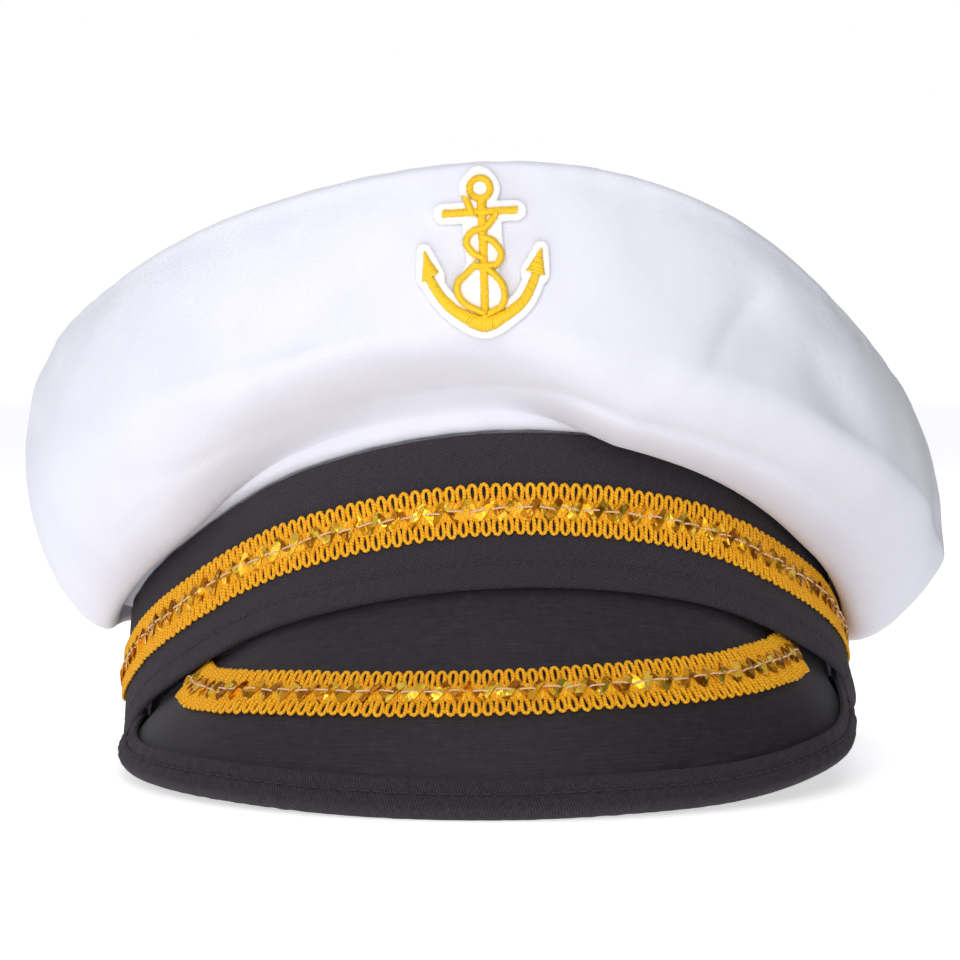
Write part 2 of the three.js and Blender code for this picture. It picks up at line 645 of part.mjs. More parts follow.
function visorBinding() {
  const near = PEAK_THICKNESS / 2 + BINDING_PLAY * GAP;
  const far = near + BINDING_WALL;
  const corner = [GAP + FOLD_CORNER.out * BINDING_WALL, FOLD_CORNER.up * far];
  const section = [
    [-BINDING_WIDTH, near], [-BINDING_WIDTH, far], [0, far], corner, [GAP + BINDING_WALL, 0],
    [corner[0], -corner[1]], [0, -far], [-BINDING_WIDTH, -far], [-BINDING_WIDTH, -near],
    [GAP, -near], [GAP, near],
  ];
  const rings = peakColumns().map((along) => {
    const edge = peakPoint(along, 1);
    const width = edge.distanceTo(peakPoint(along, 0));
    const run = peakPoint(along + 0.01, 1).sub(peakPoint(along - 0.01, 1)).normalize();
    const outward = run.cross(peakNormal(along, 1)).normalize();
    const ring = section.map(([out, up]) => {
      const across = clamp(1 + out / width, LEAF_STOP, 1);
      return peakSkin(along, across, up).addScaledVector(outward, Math.max(out, 0));
    });
    return ring.reverse();
  });
  return sweep(rings, false);
}

// The braid on the peak: a flat ribbon along its own line. Its two sides are found on the peak's surface,
// by the steps along and across that together reach half its width to the side.
function visorBraid() {
  const first = PEAK_BRAID[0].along;
  const last = PEAK_BRAID[PEAK_BRAID.length - 1].along;
  const low = PEAK_THICKNESS / 2 + GAP;
  const high = low + BRAID_THICKNESS;
  const centre = (along) => peakPoint(along, alongTable(PEAK_BRAID, 'across', along));
  const rings = [];
  for (let i = 0; i <= PEAK_COLUMNS; i += 1) {
    const along = lerp(first, last, i / PEAK_COLUMNS);
    const across = alongTable(PEAK_BRAID, 'across', along);
    const run = centre(along + 0.01).sub(centre(along - 0.01)).normalize();
    const side = peakNormal(along, across).cross(run);
    const du = peakPoint(along + 0.01, across).sub(centre(along)).divideScalar(0.01);
    const dv = peakPoint(along, across + 0.02).sub(centre(along)).divideScalar(0.02);
    const square = du.lengthSq() * dv.lengthSq() - du.dot(dv) ** 2;
    const ring = [];
    for (const [half, level] of [[-1, low], [1, low], [1, high], [-1, high]]) {
      const reach = half * BRAID_WIDTH / 2;
      const a = reach * (side.dot(du) * dv.lengthSq() - side.dot(dv) * du.dot(dv)) / square;
      const b = reach * (side.dot(dv) * du.lengthSq() - side.dot(du) * du.dot(dv)) / square;
      ring.push(peakSkin(along + a, across + b, level));
    }
    rings.push(ring.reverse());
  }
  return sweep(rings, false);
}

// A place on the badge: shares of its height sideways and upwards, and millimetres out from the crown.
function badgePoint(x, z, out) {
  const height = crownProfile(0, 1).height - BADGE_DROP + z * BADGE_HEIGHT;
  const sideways = BADGE_X + x * BADGE_HEIGHT;
  const { azimuth, level } = crownFront(sideways, height);
  const normal = surfaceNormal(crownPoint, azimuth, level, 1, 0.02);
  return crownPoint(azimuth, level).addScaledVector(normal, out);
}

// The embroidery's ridges: how high their sides stand, as a share of their height, and how wide they are
// on top, as a share of their width.
const SHOULDER = 0.45;
const CREST = 0.45;

// A ridge along a smooth line on the badge.
function stroke(points, widths, margin, low, high, shoulder) {
  const curve = new THREE.CatmullRomCurve3(points.map(([x, z]) => new THREE.Vector3(x, z, 0)));
  const steps = Math.max(4, STROKE_STEPS * (points.length - 1));
  const grow = margin / BADGE_HEIGHT;
  const rings = [];
  for (let i = 0; i <= steps; i += 1) {
    const t = i / steps;
    const at = curve.getPoint(t);
    const run = curve.getTangent(t);
    if (i === 0) at.addScaledVector(run, -grow);
    if (i === steps) at.addScaledVector(run, grow);
    const place = t * (widths.length - 1);
    const from = Math.min(Math.floor(place), widths.length - 2);
    const half = lerp(widths[from], widths[from + 1], place - from) / 2 + grow;
    const side = lerp(low, high, shoulder);
    const ring = [[-1, low], [1, low], [1, side], [CREST, high], [-CREST, high], [-1, side]];
    rings.push(ring.map(([aside, out]) => badgePoint(
      at.x - run.y * half * aside, at.y + run.x * half * aside, out)).reverse());
  }
  return sweep(rings, false);
}

// The ring at the anchor's head.
function anchorRing(low, high) {
  const half = ANCHOR_RING.width / 2;
  const side = lerp(low, high, SHOULDER);
  const rings = [];
  for (let i = 0; i < RING_STEPS; i += 1) {
    const angle = 2 * Math.PI * i / RING_STEPS;
    const inside = ANCHOR_RING.radius - half;
    const outside = ANCHOR_RING.radius + half;
    const place = (radius, out) => badgePoint(
      ANCHOR_RING.x + radius * Math.cos(angle), ANCHOR_RING.z + radius * Math.sin(angle), out);
    rings.push([place(inside, low), place(outside, low), place(outside, side),
      place(ANCHOR_RING.radius, high), place(inside, side)]);
  }
  return sweep(rings, true);
}

// A flat-backed plate from an outline on the badge, bent with the crown. Pushed straight out from its
// middle, a corner needs more than the margin to keep it along the sides.
const CORNER_REACH = 1.3;

function plate(outline, margin, low, high) {
  const centre = new THREE.Vector2();
  outline.forEach(([x, z]) => centre.add(new THREE.Vector2(x, z)));
  centre.divideScalar(outline.length);
  const grown = outline.map(([x, z]) => {
    const arm = new THREE.Vector2(x, z).sub(centre);
    return arm.setLength(arm.length() + CORNER_REACH * margin / BADGE_HEIGHT).add(centre);
  });
  const rings = [high, low].map((out) => grown.map((p) => badgePoint(p.x, p.y, out)));
  return sweep(rings, false);
}

const wasm = await Module();
wasm.setup();

// Joins closed meshes into one solid.
function fuse(geometries) {
  const solids = geometries.map((geometry) => {
    const plain = geometry.clone();
    plain.deleteAttribute('normal');
    plain.deleteAttribute('uv');
    const merged = mergeVertices(plain);
    const solid = new wasm.Manifold(new wasm.Mesh({
      numProp: 3,
      vertProperties: new Float32Array(merged.attributes.position.array),
      triVerts: new Uint32Array(merged.index.array),
    }));
    return solid;
  });
  const whole = solids.reduce((sum, solid) => sum.add(solid)).getMesh();
  const made = new THREE.BufferGeometry();
  made.setAttribute('position', new THREE.Float32BufferAttribute(whole.vertProperties, 3));
  made.setIndex(Array.from(whole.triVerts));
  return made;
}

// The anchor's strokes and flukes, drawn at a margin round the embroidery and between two heights.
function anchorPieces(margin, low, high, shoulder) {
  return [
    ...ANCHOR_STROKES.map(({ width, points }) => stroke(points, width, margin, low, high, shoulder)),
    ...ANCHOR_FLUKES.map((outline) => plate(outline, margin, low, high)),
  ];
}

function badgeAnchor() {
  const low = BADGE_PLAY * GAP + FELT + GAP;
  const high = low + STITCH_RELIEF;
  const rope = ROPES.map((points) => stroke(points, [ROPE_WIDTH, ROPE_WIDTH], 0, low, high, SHOULDER));
  return fuse([anchorRing(low, high), ...anchorPieces(0, low, high, SHOULDER), ...rope]);
}

function badgeBacking() {
  const low = BADGE_PLAY * GAP;
  const high = low + FELT;
  const reach = ANCHOR_RING.radius + ANCHOR_RING.width / 2;
  const head = [];
  for (let i = 0; i < RING_STEPS; i += 1) {
    const angle = 2 * Math.PI * i / RING_STEPS;
    head.push([ANCHOR_RING.x + reach * Math.cos(angle), ANCHOR_RING.z + reach * Math.sin(angle)]);
  }
  const field = stroke(FELT_FIELD.points, FELT_FIELD.width, FELT_MARGIN, low, high, 1);
  return fuse([plate(head, FELT_MARGIN, low, high), ...anchorPieces(FELT_MARGIN, low, high, 1), field]);
}

const FINISHES = {
  whiteCotton: { color: 0xf0f0f8, roughness: 0.9 },
  blackTwill: { color: 0x2e2a2f, roughness: 0.7 },
  blackSatin: { color: 0x332f34, roughness: 0.5 },
  goldBraid: { color: 0xf0aa1e, roughness: 0.45 },
  whiteFelt: { color: 0xfbfbfb, roughness: 1 },
  yellowThread: { color: 0xffd31a, roughness: 0.5 },
};

const hat = new THREE.Group();

function addPiece(name, geometry, finish) {
  const mesh = new THREE.Mesh(geometry, new THREE.MeshStandardMaterial(FINISHES[finish]));
  mesh.name = name;
  hat.add(mesh);
}

addPiece('crown_front', crownPanel(-SIDE_SEAM, SIDE_SEAM), 'whiteCotton');
addPiece('crown_back', crownPanel(SIDE_SEAM, TURN - SIDE_SEAM), 'whiteCotton');
addPiece('crown_top', crownTop(), 'whiteCotton');
addPiece('band', hoop(0, BAND_HEIGHT, 0, BAND_WALL), 'blackTwill');
addPiece(
  'band_braid', hoop(BRAID_RISE, BRAID_RISE + BRAID_WIDTH, -GAP - BRAID_THICKNESS, -GAP), 'goldBraid');
addPiece('visor', visor(), 'blackSatin');
addPiece('visor_binding', visorBinding(), 'blackTwill');
addPiece('visor_braid', visorBraid(), 'goldBraid');
addPiece('badge_backing', badgeBacking(), 'whiteFelt');
addPiece('badge_anchor', badgeAnchor(), 'yellowThread');

// The origin lies on the floor, under the middle of the hat's box.
const box = new THREE.Box3().setFromObject(hat);
hat.position.set(-(box.min.x + box.max.x) / 2, -(box.min.y + box.max.y) / 2, 0);

export default hat;
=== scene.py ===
# %% [markdown]
# # A captain's cap, dressed piece by piece
#
# The frame that this script loads holds the plain solids of the cap: crown, band, peak, braids and badge.
# Every piece below is a finer surface that takes the place of one solid: cloth with its weave, seams and
# dents, braid with its yarn loops, an anchor made of stitches.
#
# The surfaces are functions of two parameters, computed as whole numpy arrays in millimetres. Azimuth is the
# angle round the head, in degrees, 0 at the front and growing to the right-hand side of the picture.

# %% Load the frame
import bpy
import numpy as np
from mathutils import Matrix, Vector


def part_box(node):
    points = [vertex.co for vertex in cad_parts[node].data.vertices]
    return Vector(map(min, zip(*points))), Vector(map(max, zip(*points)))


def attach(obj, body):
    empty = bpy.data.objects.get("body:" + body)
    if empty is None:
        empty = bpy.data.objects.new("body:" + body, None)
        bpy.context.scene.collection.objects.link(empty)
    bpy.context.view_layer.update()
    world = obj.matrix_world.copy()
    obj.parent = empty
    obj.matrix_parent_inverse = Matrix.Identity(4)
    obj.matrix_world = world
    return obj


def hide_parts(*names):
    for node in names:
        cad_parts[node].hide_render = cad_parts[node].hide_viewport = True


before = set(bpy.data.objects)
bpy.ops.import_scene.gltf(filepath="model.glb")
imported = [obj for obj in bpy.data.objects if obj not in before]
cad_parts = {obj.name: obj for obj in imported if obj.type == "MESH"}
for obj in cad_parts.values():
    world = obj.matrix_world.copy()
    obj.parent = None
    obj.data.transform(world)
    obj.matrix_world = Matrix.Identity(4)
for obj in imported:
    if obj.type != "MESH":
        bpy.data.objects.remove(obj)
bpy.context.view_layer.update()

print("frame nodes:", sorted(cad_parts))

# %% [markdown]
# ## The sizes that everything hangs on
#
# The cloth pieces need the same shape functions as the solids, so the same named sizes and the same short
# tables stand here again. The head's axis is read from the band's own box, so that the pieces land on it.

# %% Sizes in millimetres
HEAD_WIDTH, HEAD_DEPTH = 192.5, 198.0
BAND_HEIGHT, BAND_WALL, ARCH = 37.0, 2.0, 49.2
SEAM, STRIP = 6.0, 5.0
WALL_HEIGHT, OVERHANG, SAG = 62.6, 26.0, 40.0
CLOTH, DOME, DENT = 1.5, 9.0, 5.0
PEAK_REACH, PEAK_SET_IN, PEAK_THICKNESS, PEAK_BULGE = 36.0, 6.5, 2.4, 0.07
CORNER_SKIVE, PEAK_SPAN, PEAK_END, SEAT_DROP = 0.6, 73.0, 0.985, 1.0
BINDING_WIDTH, BINDING_WALL = 6.6, 1.2
BRAID_WIDTH, BRAID_THICKNESS, BRAID_RISE = 12.8, 1.3, 12.1
BADGE_HEIGHT, BADGE_X, BADGE_DROP = 36.4, -1.8, 20.95
FELT, FELT_MARGIN, STITCH_RELIEF = 1.0, 1.6, 0.9
GAP = 0.3
LEVEL_STRIP, LEVEL_WIDE = 0.1, 0.55
SIDE_SEAM = 102.0  # degrees from the front to either side

# The crown's profile: shares for a wall that hangs and for one that is drawn tight.
STRIP_OUT, STRIP_UP, FOOT_UP, BELLY_UP = (0.5, 0.16), (0.3, 1), (0.7, 0.45), (0.15, 0.6)
TAUT_LIMIT, FOOT_OUT, TAUT_FOOT_OUT = SAG / 4, 0.9, 0.9
TAUT_BELLY_OUT, TAUT_BELLY_UP, BELLY_OUT = 0.12, 0.3, 0.06
SHOULDER_UP, RIM_OUT, RIM_UP = 0.5, 0.8, 0.12

# Round the head. Band: azimuth, hem rise as a share of ARCH, lean in degrees.
BAND_SECTIONS = np.array([
    [-150, 0, 2], [-120, 0, 2], [-90, 0, 3], [-60, 0.395, 10], [-30, 0.815, 12], [0, 1, 12],
    [30, 0.92, 15], [60, 0.585, 17], [90, 0.205, 12], [120, 0.02, 4], [150, 0, 2], [180, 0, 2]])

# Crown: azimuth, then rim and widest line as out and up shares of OVERHANG and WALL_HEIGHT, then sag.
CROWN_SECTIONS = np.array([
    [-150, 0.84, 0.75, 0.99, 0.37, 0.3], [-120, 0.72, 0.815, 0.99, 0.46, 0.4],
    [-90, 0.64, 0.925, 0.97, 0.62, 0.5], [-60, 0.605, 0.965, 0.875, 0.515, 0.36],
    [-30, 0.605, 0.978, 0.76, 0.41, 0.05], [0, 0.53, 1, 0.645, 0.425, 0],
    [15, 0.565, 0.975, 0.68, 0.36, 0.21], [30, 0.565, 0.885, 0.76, 0.305, 0.38],
    [60, 0.53, 0.6, 0.8, 0.17, 0.68], [90, 0.645, 0.33, 0.875, 0.04, 1],
    [120, 0.685, 0.425, 0.95, 0.12, 0.8], [150, 0.8, 0.56, 0.99, 0.24, 0.42],
    [180, 0.875, 0.655, 1.03, 0.305, 0.3]])

# Large dents in the crown: azimuth, level, spread in degrees, breadth in levels, slant, depth share of DENT.
DENTS = [(31, 0.66, 7, 0.09, 0.012, 1), (45, 0.6, 6, 0.08, -0.006, 0.7), (-24, 0.58, 9, 0.07, 0.01, 0.4),
         (-54, 0.42, 12, 0.06, 0, 0.5), (102, 0.5, 5, 0.16, 0, 0.7), (-101, 0.48, 5, 0.16, 0, 0.7),
         (165, 0.5, 12, 0.12, -0.008, 0.6)]

# Peak's edge: place along from -1 to 1, bearing in degrees, reach share of its arc, rise share of ARCH.
PEAK_EDGE = np.array([
    [-0.92, -95, 1.012, 0.08], [-0.8, -80, 1, 0.035], [-0.62, -60, 1, 0.028], [-0.42, -40, 1, 0.02],
    [-0.21, -20, 1, 0.005], [0, 0, 1, 0], [0.21, 20, 1, 0.012], [0.42, 40, 1, 0.03], [0.62, 60, 1, 0.09],
    [0.8, 80, 0.985, 0.15], [0.92, 95, 0.995, 0.25]])

# Middle line of the braid on the peak: along, across.
PEAK_BRAID = np.array([[-0.7, 0.1], [-0.6, 0.32], [-0.4, 0.45], [0, 0.51], [0.4, 0.435], [0.62, 0.28],
                       [0.72, 0.12]])

low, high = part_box("band")
HEAD_AXIS = np.array([(low.x + high.x) / 2, (low.y + high.y) / 2, 0]) * 1000
print("head axis in the frame, mm:", HEAD_AXIS.round(3))

# %% [markdown]
# ## Reading the tables smoothly
#
# A table gives a few sections, and a cubic through its rows gives the rest. Each row's slope comes from its
# two neighbours, which keeps cloth free of kinks. The arrays may hold millions of places at once.

# %% Smooth tables
rad = np.radians


def cubic(before, start, stop, after, x):
    """The cubic through two rows (place, value) whose slopes are those between their outer neighbours."""
    span = stop[0] - start[0]
    t = (x - start[0]) / span
    slope_start = (stop[1] - before[1]) / (stop[0] - before[0]) * span
    slope_stop = (after[1] - start[1]) / (after[0] - start[0]) * span
    a = 2 * t**3 - 3 * t**2 + 1
    return (a * start[1] + (t**3 - 2 * t**2 + t) * slope_start + (1 - a) * stop[1]
            + (t**3 - t**2) * slope_stop)


def around(table, column, azimuth):
    """A column of a table that closes on itself round the head, at any azimuths."""
    places, values = table[:, 0].astype(float), table[:, column].astype(float)
    n = len(places)
    x = (np.asarray(azimuth, float) - places[0]) % 360 + places[0]
    rows = np.arange(-1, n + 3)
    far = places[rows % n] + 360 * (rows // n)
    val = values[rows % n]
    i = np.clip(np.searchsorted(far, x, side="right") - 1, 1, len(rows) - 3)
    pick = lambda k: (far[i + k], val[i + k])
    return cubic(pick(-1), pick(0), pick(1), pick(2), x)


def along_table(table, column, place):
    """A column of a table that runs from one end to the other, level past its ends."""
    places, values = table[:, 0].astype(float), table[:, column].astype(float)
    far = np.concatenate([[2 * places[0] - places[1]], places, [2 * places[-1] - places[-2]]])
    val = np.concatenate([[values[0]], values, [values[-1]]])
    x = np.asarray(place, float)
    i = np.clip(np.searchsorted(places, x, side="left") - 1, 0, len(places) - 2) + 1
    pick = lambda k: (far[i + k], val[i + k])
    return cubic(pick(-1), pick(0), pick(1), pick(2), x)


def lerp(a, b, t):
    return a + (b - a) * t


def smooth(x, start, stop):
    """0 before start, 1 after stop, and an S curve between them."""
    t = np.clip((x - start) / (stop - start), 0, 1)
    return t * t * (3 - 2 * t)


def bezier(p0, p1, p2, p3, t):
    return (1 - t)**3 * p0 + 3 * (1 - t)**2 * t * p1 + 3 * (1 - t) * t**2 * p2 + t**3 * p3


def vec(x, y, z):
    return np.stack(np.broadcast_arrays(x, y, z), axis=-1).astype(float)


def unit(v):
    return v / np.maximum(np.linalg.norm(v, axis=-1, keepdims=True), 1e-12)


def polar(azimuth, radius, height):
    """A point at a radius and a height; the plan is the head's slightly long oval."""
    a = rad(azimuth)
    return vec(radius * np.sin(a), -radius * np.cos(a) * HEAD_DEPTH / HEAD_WIDTH, height)


print("hem height at the front, mm:", float(around(BAND_SECTIONS, 1, 0) * ARCH))

# %% [markdown]
# ## The shape of the band and of the crown
#
# The band is a strip of cloth bent round an oval head. Its hem arches up over the forehead and it leans
# inwards a little. The crown wall starts inside the band, shows a taut strip, bellies out, and turns in to
# the rim. Three Bezier curves in radius and height give that profile at each azimuth.

# %% Band and crown
def band_point(azimuth, up, depth):
    """A place on the band: up along its lean from the hem, depth in from its face."""
    hem = np.maximum(0, around(BAND_SECTIONS, 1, azimuth) * ARCH)
    lean = rad(around(BAND_SECTIONS, 2, azimuth))
    return polar(azimuth, HEAD_WIDTH / 2 - up * np.sin(lean) - depth, hem + up * np.cos(lean))


def crown_profile(azimuth, level):
    """Radius and height of the wall's face: a straight run in the band, the strip, the belly, the turn in."""
    azimuth, level = np.broadcast_arrays(np.asarray(azimuth, float), np.asarray(level, float))
    hem = np.maximum(0, around(BAND_SECTIONS, 1, azimuth) * ARCH)
    lean = rad(around(BAND_SECTIONS, 2, azimuth))
    on_band = lambda up, depth: (HEAD_WIDTH / 2 - up * np.sin(lean) - depth, hem + up * np.cos(lean))
    rim_out, rim_up, wide_out, wide_up, sag = (around(CROWN_SECTIONS, k, azimuth) for k in range(1, 6))
    sag = sag * SAG
    top_r, top_z = on_band(BAND_HEIGHT, 0)
    start_r, start_z = on_band(BAND_HEIGHT + GAP, BAND_WALL + GAP)
    taut = np.clip(1 - sag / TAUT_LIMIT, 0, 1)
    strip_r, strip_z = top_r + STRIP * lerp(*STRIP_OUT, taut), top_z + STRIP * lerp(*STRIP_UP, taut)
    wide_r, wide_z = HEAD_WIDTH / 2 + wide_out * OVERHANG, top_z + wide_up * WALL_HEIGHT
    rim_r, rim_z = HEAD_WIDTH / 2 + rim_out * OVERHANG, top_z + rim_up * WALL_HEIGHT
    seam_r, seam_z = on_band(BAND_HEIGHT + GAP + np.minimum(level, 0) * SEAM, BAND_WALL + GAP)
    t = np.clip(level / LEVEL_STRIP, 0, 1)
    foot_r = start_r + FOOT_OUT * (strip_r - start_r)
    low_r = bezier(start_r, foot_r, strip_r + TAUT_FOOT_OUT * taut, strip_r, t)
    low_z = bezier(start_z, start_z, lerp(start_z, strip_z, lerp(*FOOT_UP, taut)), strip_z, t)
    t = np.clip((level - LEVEL_STRIP) / (LEVEL_WIDE - LEVEL_STRIP), 0, 1)
    out, rise = wide_r - strip_r, wide_z - strip_z
    belly_r = bezier(strip_r, strip_r + TAUT_BELLY_OUT * taut * out, wide_r + BELLY_OUT * out, wide_r, t)
    lowest_z = strip_z + TAUT_BELLY_UP * taut * rise - sag
    belly_z = bezier(strip_z, lowest_z, strip_z + lerp(*BELLY_UP, taut) * rise, wide_z, t)
    t = np.clip((level - LEVEL_WIDE) / (1 - LEVEL_WIDE), 0, 1)
    out, rise = wide_r - rim_r, rim_z - wide_z
    turn_r = bezier(wide_r, wide_r, rim_r + RIM_OUT * out, rim_r, t)
    turn_z = bezier(wide_z, wide_z + SHOULDER_UP * rise, rim_z - RIM_UP * rise, rim_z, t)
    part = [level <= 0, level <= LEVEL_STRIP, level <= LEVEL_WIDE]
    radius = np.select(part, [seam_r, low_r, belly_r], turn_r)
    return radius, np.select(part, [seam_z, low_z, belly_z], turn_z)


def turned(azimuth, centre):
    """Degrees from a centre, the short way round."""
    return (azimuth - centre + 180) % 360 - 180


def dents(azimuth, level):
    """Sum of soft hollows, each a bell in azimuth and in level whose middle line may slant."""
    total = 0
    for centre, height, spread, breadth, slant, depth in DENTS:
        turn = turned(azimuth, centre)
        rise = level - height - slant * turn
        total = total + depth * DENT * np.exp(-(turn / spread)**2 - (rise / breadth)**2)
    return total


azimuths = np.linspace(-180, 180, 360, endpoint=False)
RIM_Z = crown_profile(azimuths, 1)[1]
print("rim height, front and right side, mm:", RIM_Z[180].round(1), RIM_Z[270].round(1))

# %% [markdown]
# ## The shape of the top panel
#
# A loose round panel sewn into a wavy rim hangs like a soap film on a bent wire, with a little air under it.
# The film's height comes from the rim's own waves: the n-th wave fades as the n-th power of the distance
# from the middle. A low dome is added on top.

# %% The top panel's shape
WAVES, CROWDING, DOME_POWER = 5, 8, 2.5
wave = np.exp(-1j * np.outer(np.arange(WAVES + 1), rad(azimuths)))
RIM_WAVES = (wave * RIM_Z).mean(1) * np.where(np.arange(WAVES + 1), 2, 1)


def film(azimuth, share):
    """Height of the film: the sum of share**n times the rim's n-th wave."""
    return sum(share**n * (RIM_WAVES[n] * np.exp(1j * n * rad(azimuth))).real for n in range(WAVES + 1))


def top_point(azimuth, share):
    """Film, plus what the film misses at the rim, faded fast inwards, plus the dome."""
    rim_r, rim_z = crown_profile(azimuth, 1)
    missed = rim_z - film(azimuth, 1)
    height = film(azimuth, share) + missed * share**CROWDING + DOME * (1 - share**DOME_POWER)
    return polar(azimuth, rim_r * share, height)


print("top panel, middle height, mm:", float(top_point(0.0, 0.0)[2].round(1)))

# %% [markdown]
# ## The shape of the peak
#
# The peak is board covered in satin. Its seam stands inside the band, it bends out under the hem, and its
# edge is an arc that rests on the floor at the front. Between hem and edge it bulges a little.

# %% The peak's shape
EDGE_LIFT = 0.7 * (PEAK_THICKNESS / 2 + GAP + BINDING_WALL)
EDGE_ENDS = PEAK_EDGE[-1, 0]


def peak_tuck(along):
    """0 along the edge's table, and from its ends to the peak's own ends up to 1."""
    return np.clip((np.abs(along) - EDGE_ENDS) / (1 - EDGE_ENDS), 0, 1)


def peak_seat(along, up):
    """Inside the band, deeper towards the ends, where braid and binding pass under the hem."""
    deeper = max(BRAID_THICKNESS, BINDING_WALL) + 3 * GAP
    depth = BAND_WALL + GAP + PEAK_THICKNESS / 2 + smooth(np.abs(along), 0.45, 0.62) * deeper
    return band_point(along * PEAK_SPAN, up, depth)


def peak_edge(along):
    """An arc round the head's front; past its table's ends it turns in, then up, into the band."""
    inside = np.clip(along, -EDGE_ENDS, EDGE_ENDS)
    arc = HEAD_WIDTH / 2 - PEAK_SET_IN
    bearing = rad(along_table(PEAK_EDGE, 1, inside))
    reach = along_table(PEAK_EDGE, 2, inside) * arc
    rise = along_table(PEAK_EDGE, 3, inside) * ARCH + EDGE_LIFT
    middle = -HEAD_DEPTH / 2 - PEAK_REACH + arc
    end = peak_seat(np.sign(along), SEAM / 2)
    inwards, upwards = smooth(peak_tuck(along), 0, 0.7), smooth(peak_tuck(along), 0.3, 1)
    return vec(lerp(reach * np.sin(bearing), end[..., 0], inwards),
               lerp(middle - reach * np.cos(bearing), end[..., 1], inwards), lerp(rise, end[..., 2], upwards))


def peak_point(along, across):
    """The peak's middle surface: the seam from -1 to 0, then a quadratic Bezier curve from hem to edge."""
    along, across = np.broadcast_arrays(np.asarray(along, float), np.asarray(across, float))
    bend = lerp(-SEAT_DROP, SEAM / 2 + SEAT_DROP, smooth(peak_tuck(along), 0, 1))
    inside = peak_seat(along, lerp(bend, SEAM, np.maximum(-across, 0)))
    seat, edge = peak_seat(along, bend), peak_edge(along)
    width = np.linalg.norm(edge - seat, axis=-1, keepdims=True)
    fade = 1 - smooth(np.abs(along), 0.6, 1)[..., None]
    outward = unit(polar(along * PEAK_SPAN, 1, 0.7))
    middle = (seat + edge) / 2 + outward * PEAK_BULGE * width * fade
    t = np.maximum(across, 0)[..., None]
    blade = seat * (1 - t)**2 + middle * 2 * t * (1 - t) + edge * t**2
    return np.where(across[..., None] <= 0, inside, blade)


def peak_normal(along, across):
    """Square to the surface, from small steps along and across; on the seam it points away from the head."""
    along, across = np.broadcast_arrays(np.asarray(along, float), np.asarray(across, float))
    u, v = np.clip(along, -PEAK_END, PEAK_END), np.clip(across, 0.04, 0.96)
    du = peak_point(u + 0.01, v) - peak_point(u - 0.01, v)
    dv = peak_point(u, v + 0.03) - peak_point(u, v - 0.03)
    blade = unit(np.cross(dv, du))
    seam = unit(polar(along * PEAK_SPAN, 1, 0))
    return unit(lerp(seam, blade, smooth(across, -0.15, 0.04)[..., None]))


def peak_skin(along, across, out):
    return peak_point(along, across) + peak_normal(along, across) * np.asarray(out, float)[..., None]


print("peak tip, mm:", peak_point(0.0, 1.0).round(1), "normal", peak_normal(0.0, 0.5).round(2))

# %% [markdown]
# ## Turning arrays into meshes
#
# A piece is a grid of points whose rows or columns may close on themselves. Every grid gets its own UV map in
# millimetres, so that a weave can follow the cloth. Thin things such as yarn and stitches are many short
# grids at once: a ring of points carried along a row of paths, with a fan of triangles over each end.

# %% Mesh helpers
def fill_mesh(name, points, faces, uv):
    """Points in mm round the head's axis, faces as rows of 4 or 3 indices, uv as one row per face corner."""
    mesh = bpy.data.meshes.new(name)
    mesh.vertices.add(len(points))
    mesh.vertices.foreach_set("co", ((points + HEAD_AXIS) / 1000).astype(np.float32).ravel())
    counts = np.concatenate([np.full(len(f), f.shape[1]) for f in faces])
    corners = np.concatenate([f.ravel() for f in faces])
    mesh.loops.add(len(corners))
    mesh.loops.foreach_set("vertex_index", corners.astype(np.int32))
    mesh.polygons.add(len(counts))
    mesh.polygons.foreach_set("loop_start", np.concatenate([[0], np.cumsum(counts)[:-1]]).astype(np.int32))
    layer = mesh.uv_layers.new(name="cloth")
    layer.data.foreach_set("uv", np.concatenate([u.reshape(-1, 2) for u in uv]).astype(np.float32).ravel())
    mesh.update(calc_edges=True)
    mesh.shade_smooth()
    return mesh


def piece(name, mesh, material, slot, *nodes):
    """An object that rides on the hat, takes the given material and stands for the named solids, which it
    hides. The slot is not used.
    """
    obj = bpy.data.objects.new(name, mesh)
    bpy.context.scene.collection.objects.link(obj)
    mesh.materials.append(material)
    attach(obj, "root")
    if nodes:
        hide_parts(*nodes)
    return obj


def grid_faces(rows, cols, wrap_rows, wrap_cols):
    """Quads of a grid whose rows run up and whose columns run round, seen from outside; and their corners."""
    i, j = np.meshgrid(np.arange(rows - (not wrap_rows)), np.arange(cols - (not wrap_cols)), indexing="ij")
    i, j = i.ravel(), j.ravel()
    corner = np.stack([np.stack(at) for at in ((i, j), (i, j + 1), (i + 1, j + 1), (i + 1, j))])
    quads = (corner[:, 0] % rows * cols + corner[:, 1] % cols).T
    return quads, corner.transpose(2, 0, 1)


def sheet_mesh(name, points, uv, wrap_cols=True, ends=()):
    """points[row, column], whose rows go up the outer face and down the inner one; uv has one row and one
    column more. Ends are faces over the first column, as rows' numbers in rising order; the last column gets
    the same faces the other way round."""
    rows, cols = points.shape[:2]
    quads, corner = grid_faces(rows, cols, True, wrap_cols)
    faces, flat_uv = [quads], [uv[corner[..., 0], corner[..., 1]]]
    for end in ends:
        faces += [end * cols, end[:, ::-1] * cols + cols - 1]
        flat_uv += [np.zeros((*end.shape, 2))] * 2
    return fill_mesh(name, points.reshape(-1, 3), faces, flat_uv)


def zip_up(first, last, count):
    """Quads between two runs of rows face to face: one rises from first, the other falls from last."""
    i = np.arange(count)
    return np.stack([first + i, first + i + 1, last - 1 - i, last - i], -1)


def mm_uv(across, up):
    """A UV grid in mm from one row of places across and one column of places up."""
    return np.stack(np.meshgrid(across, up), -1)


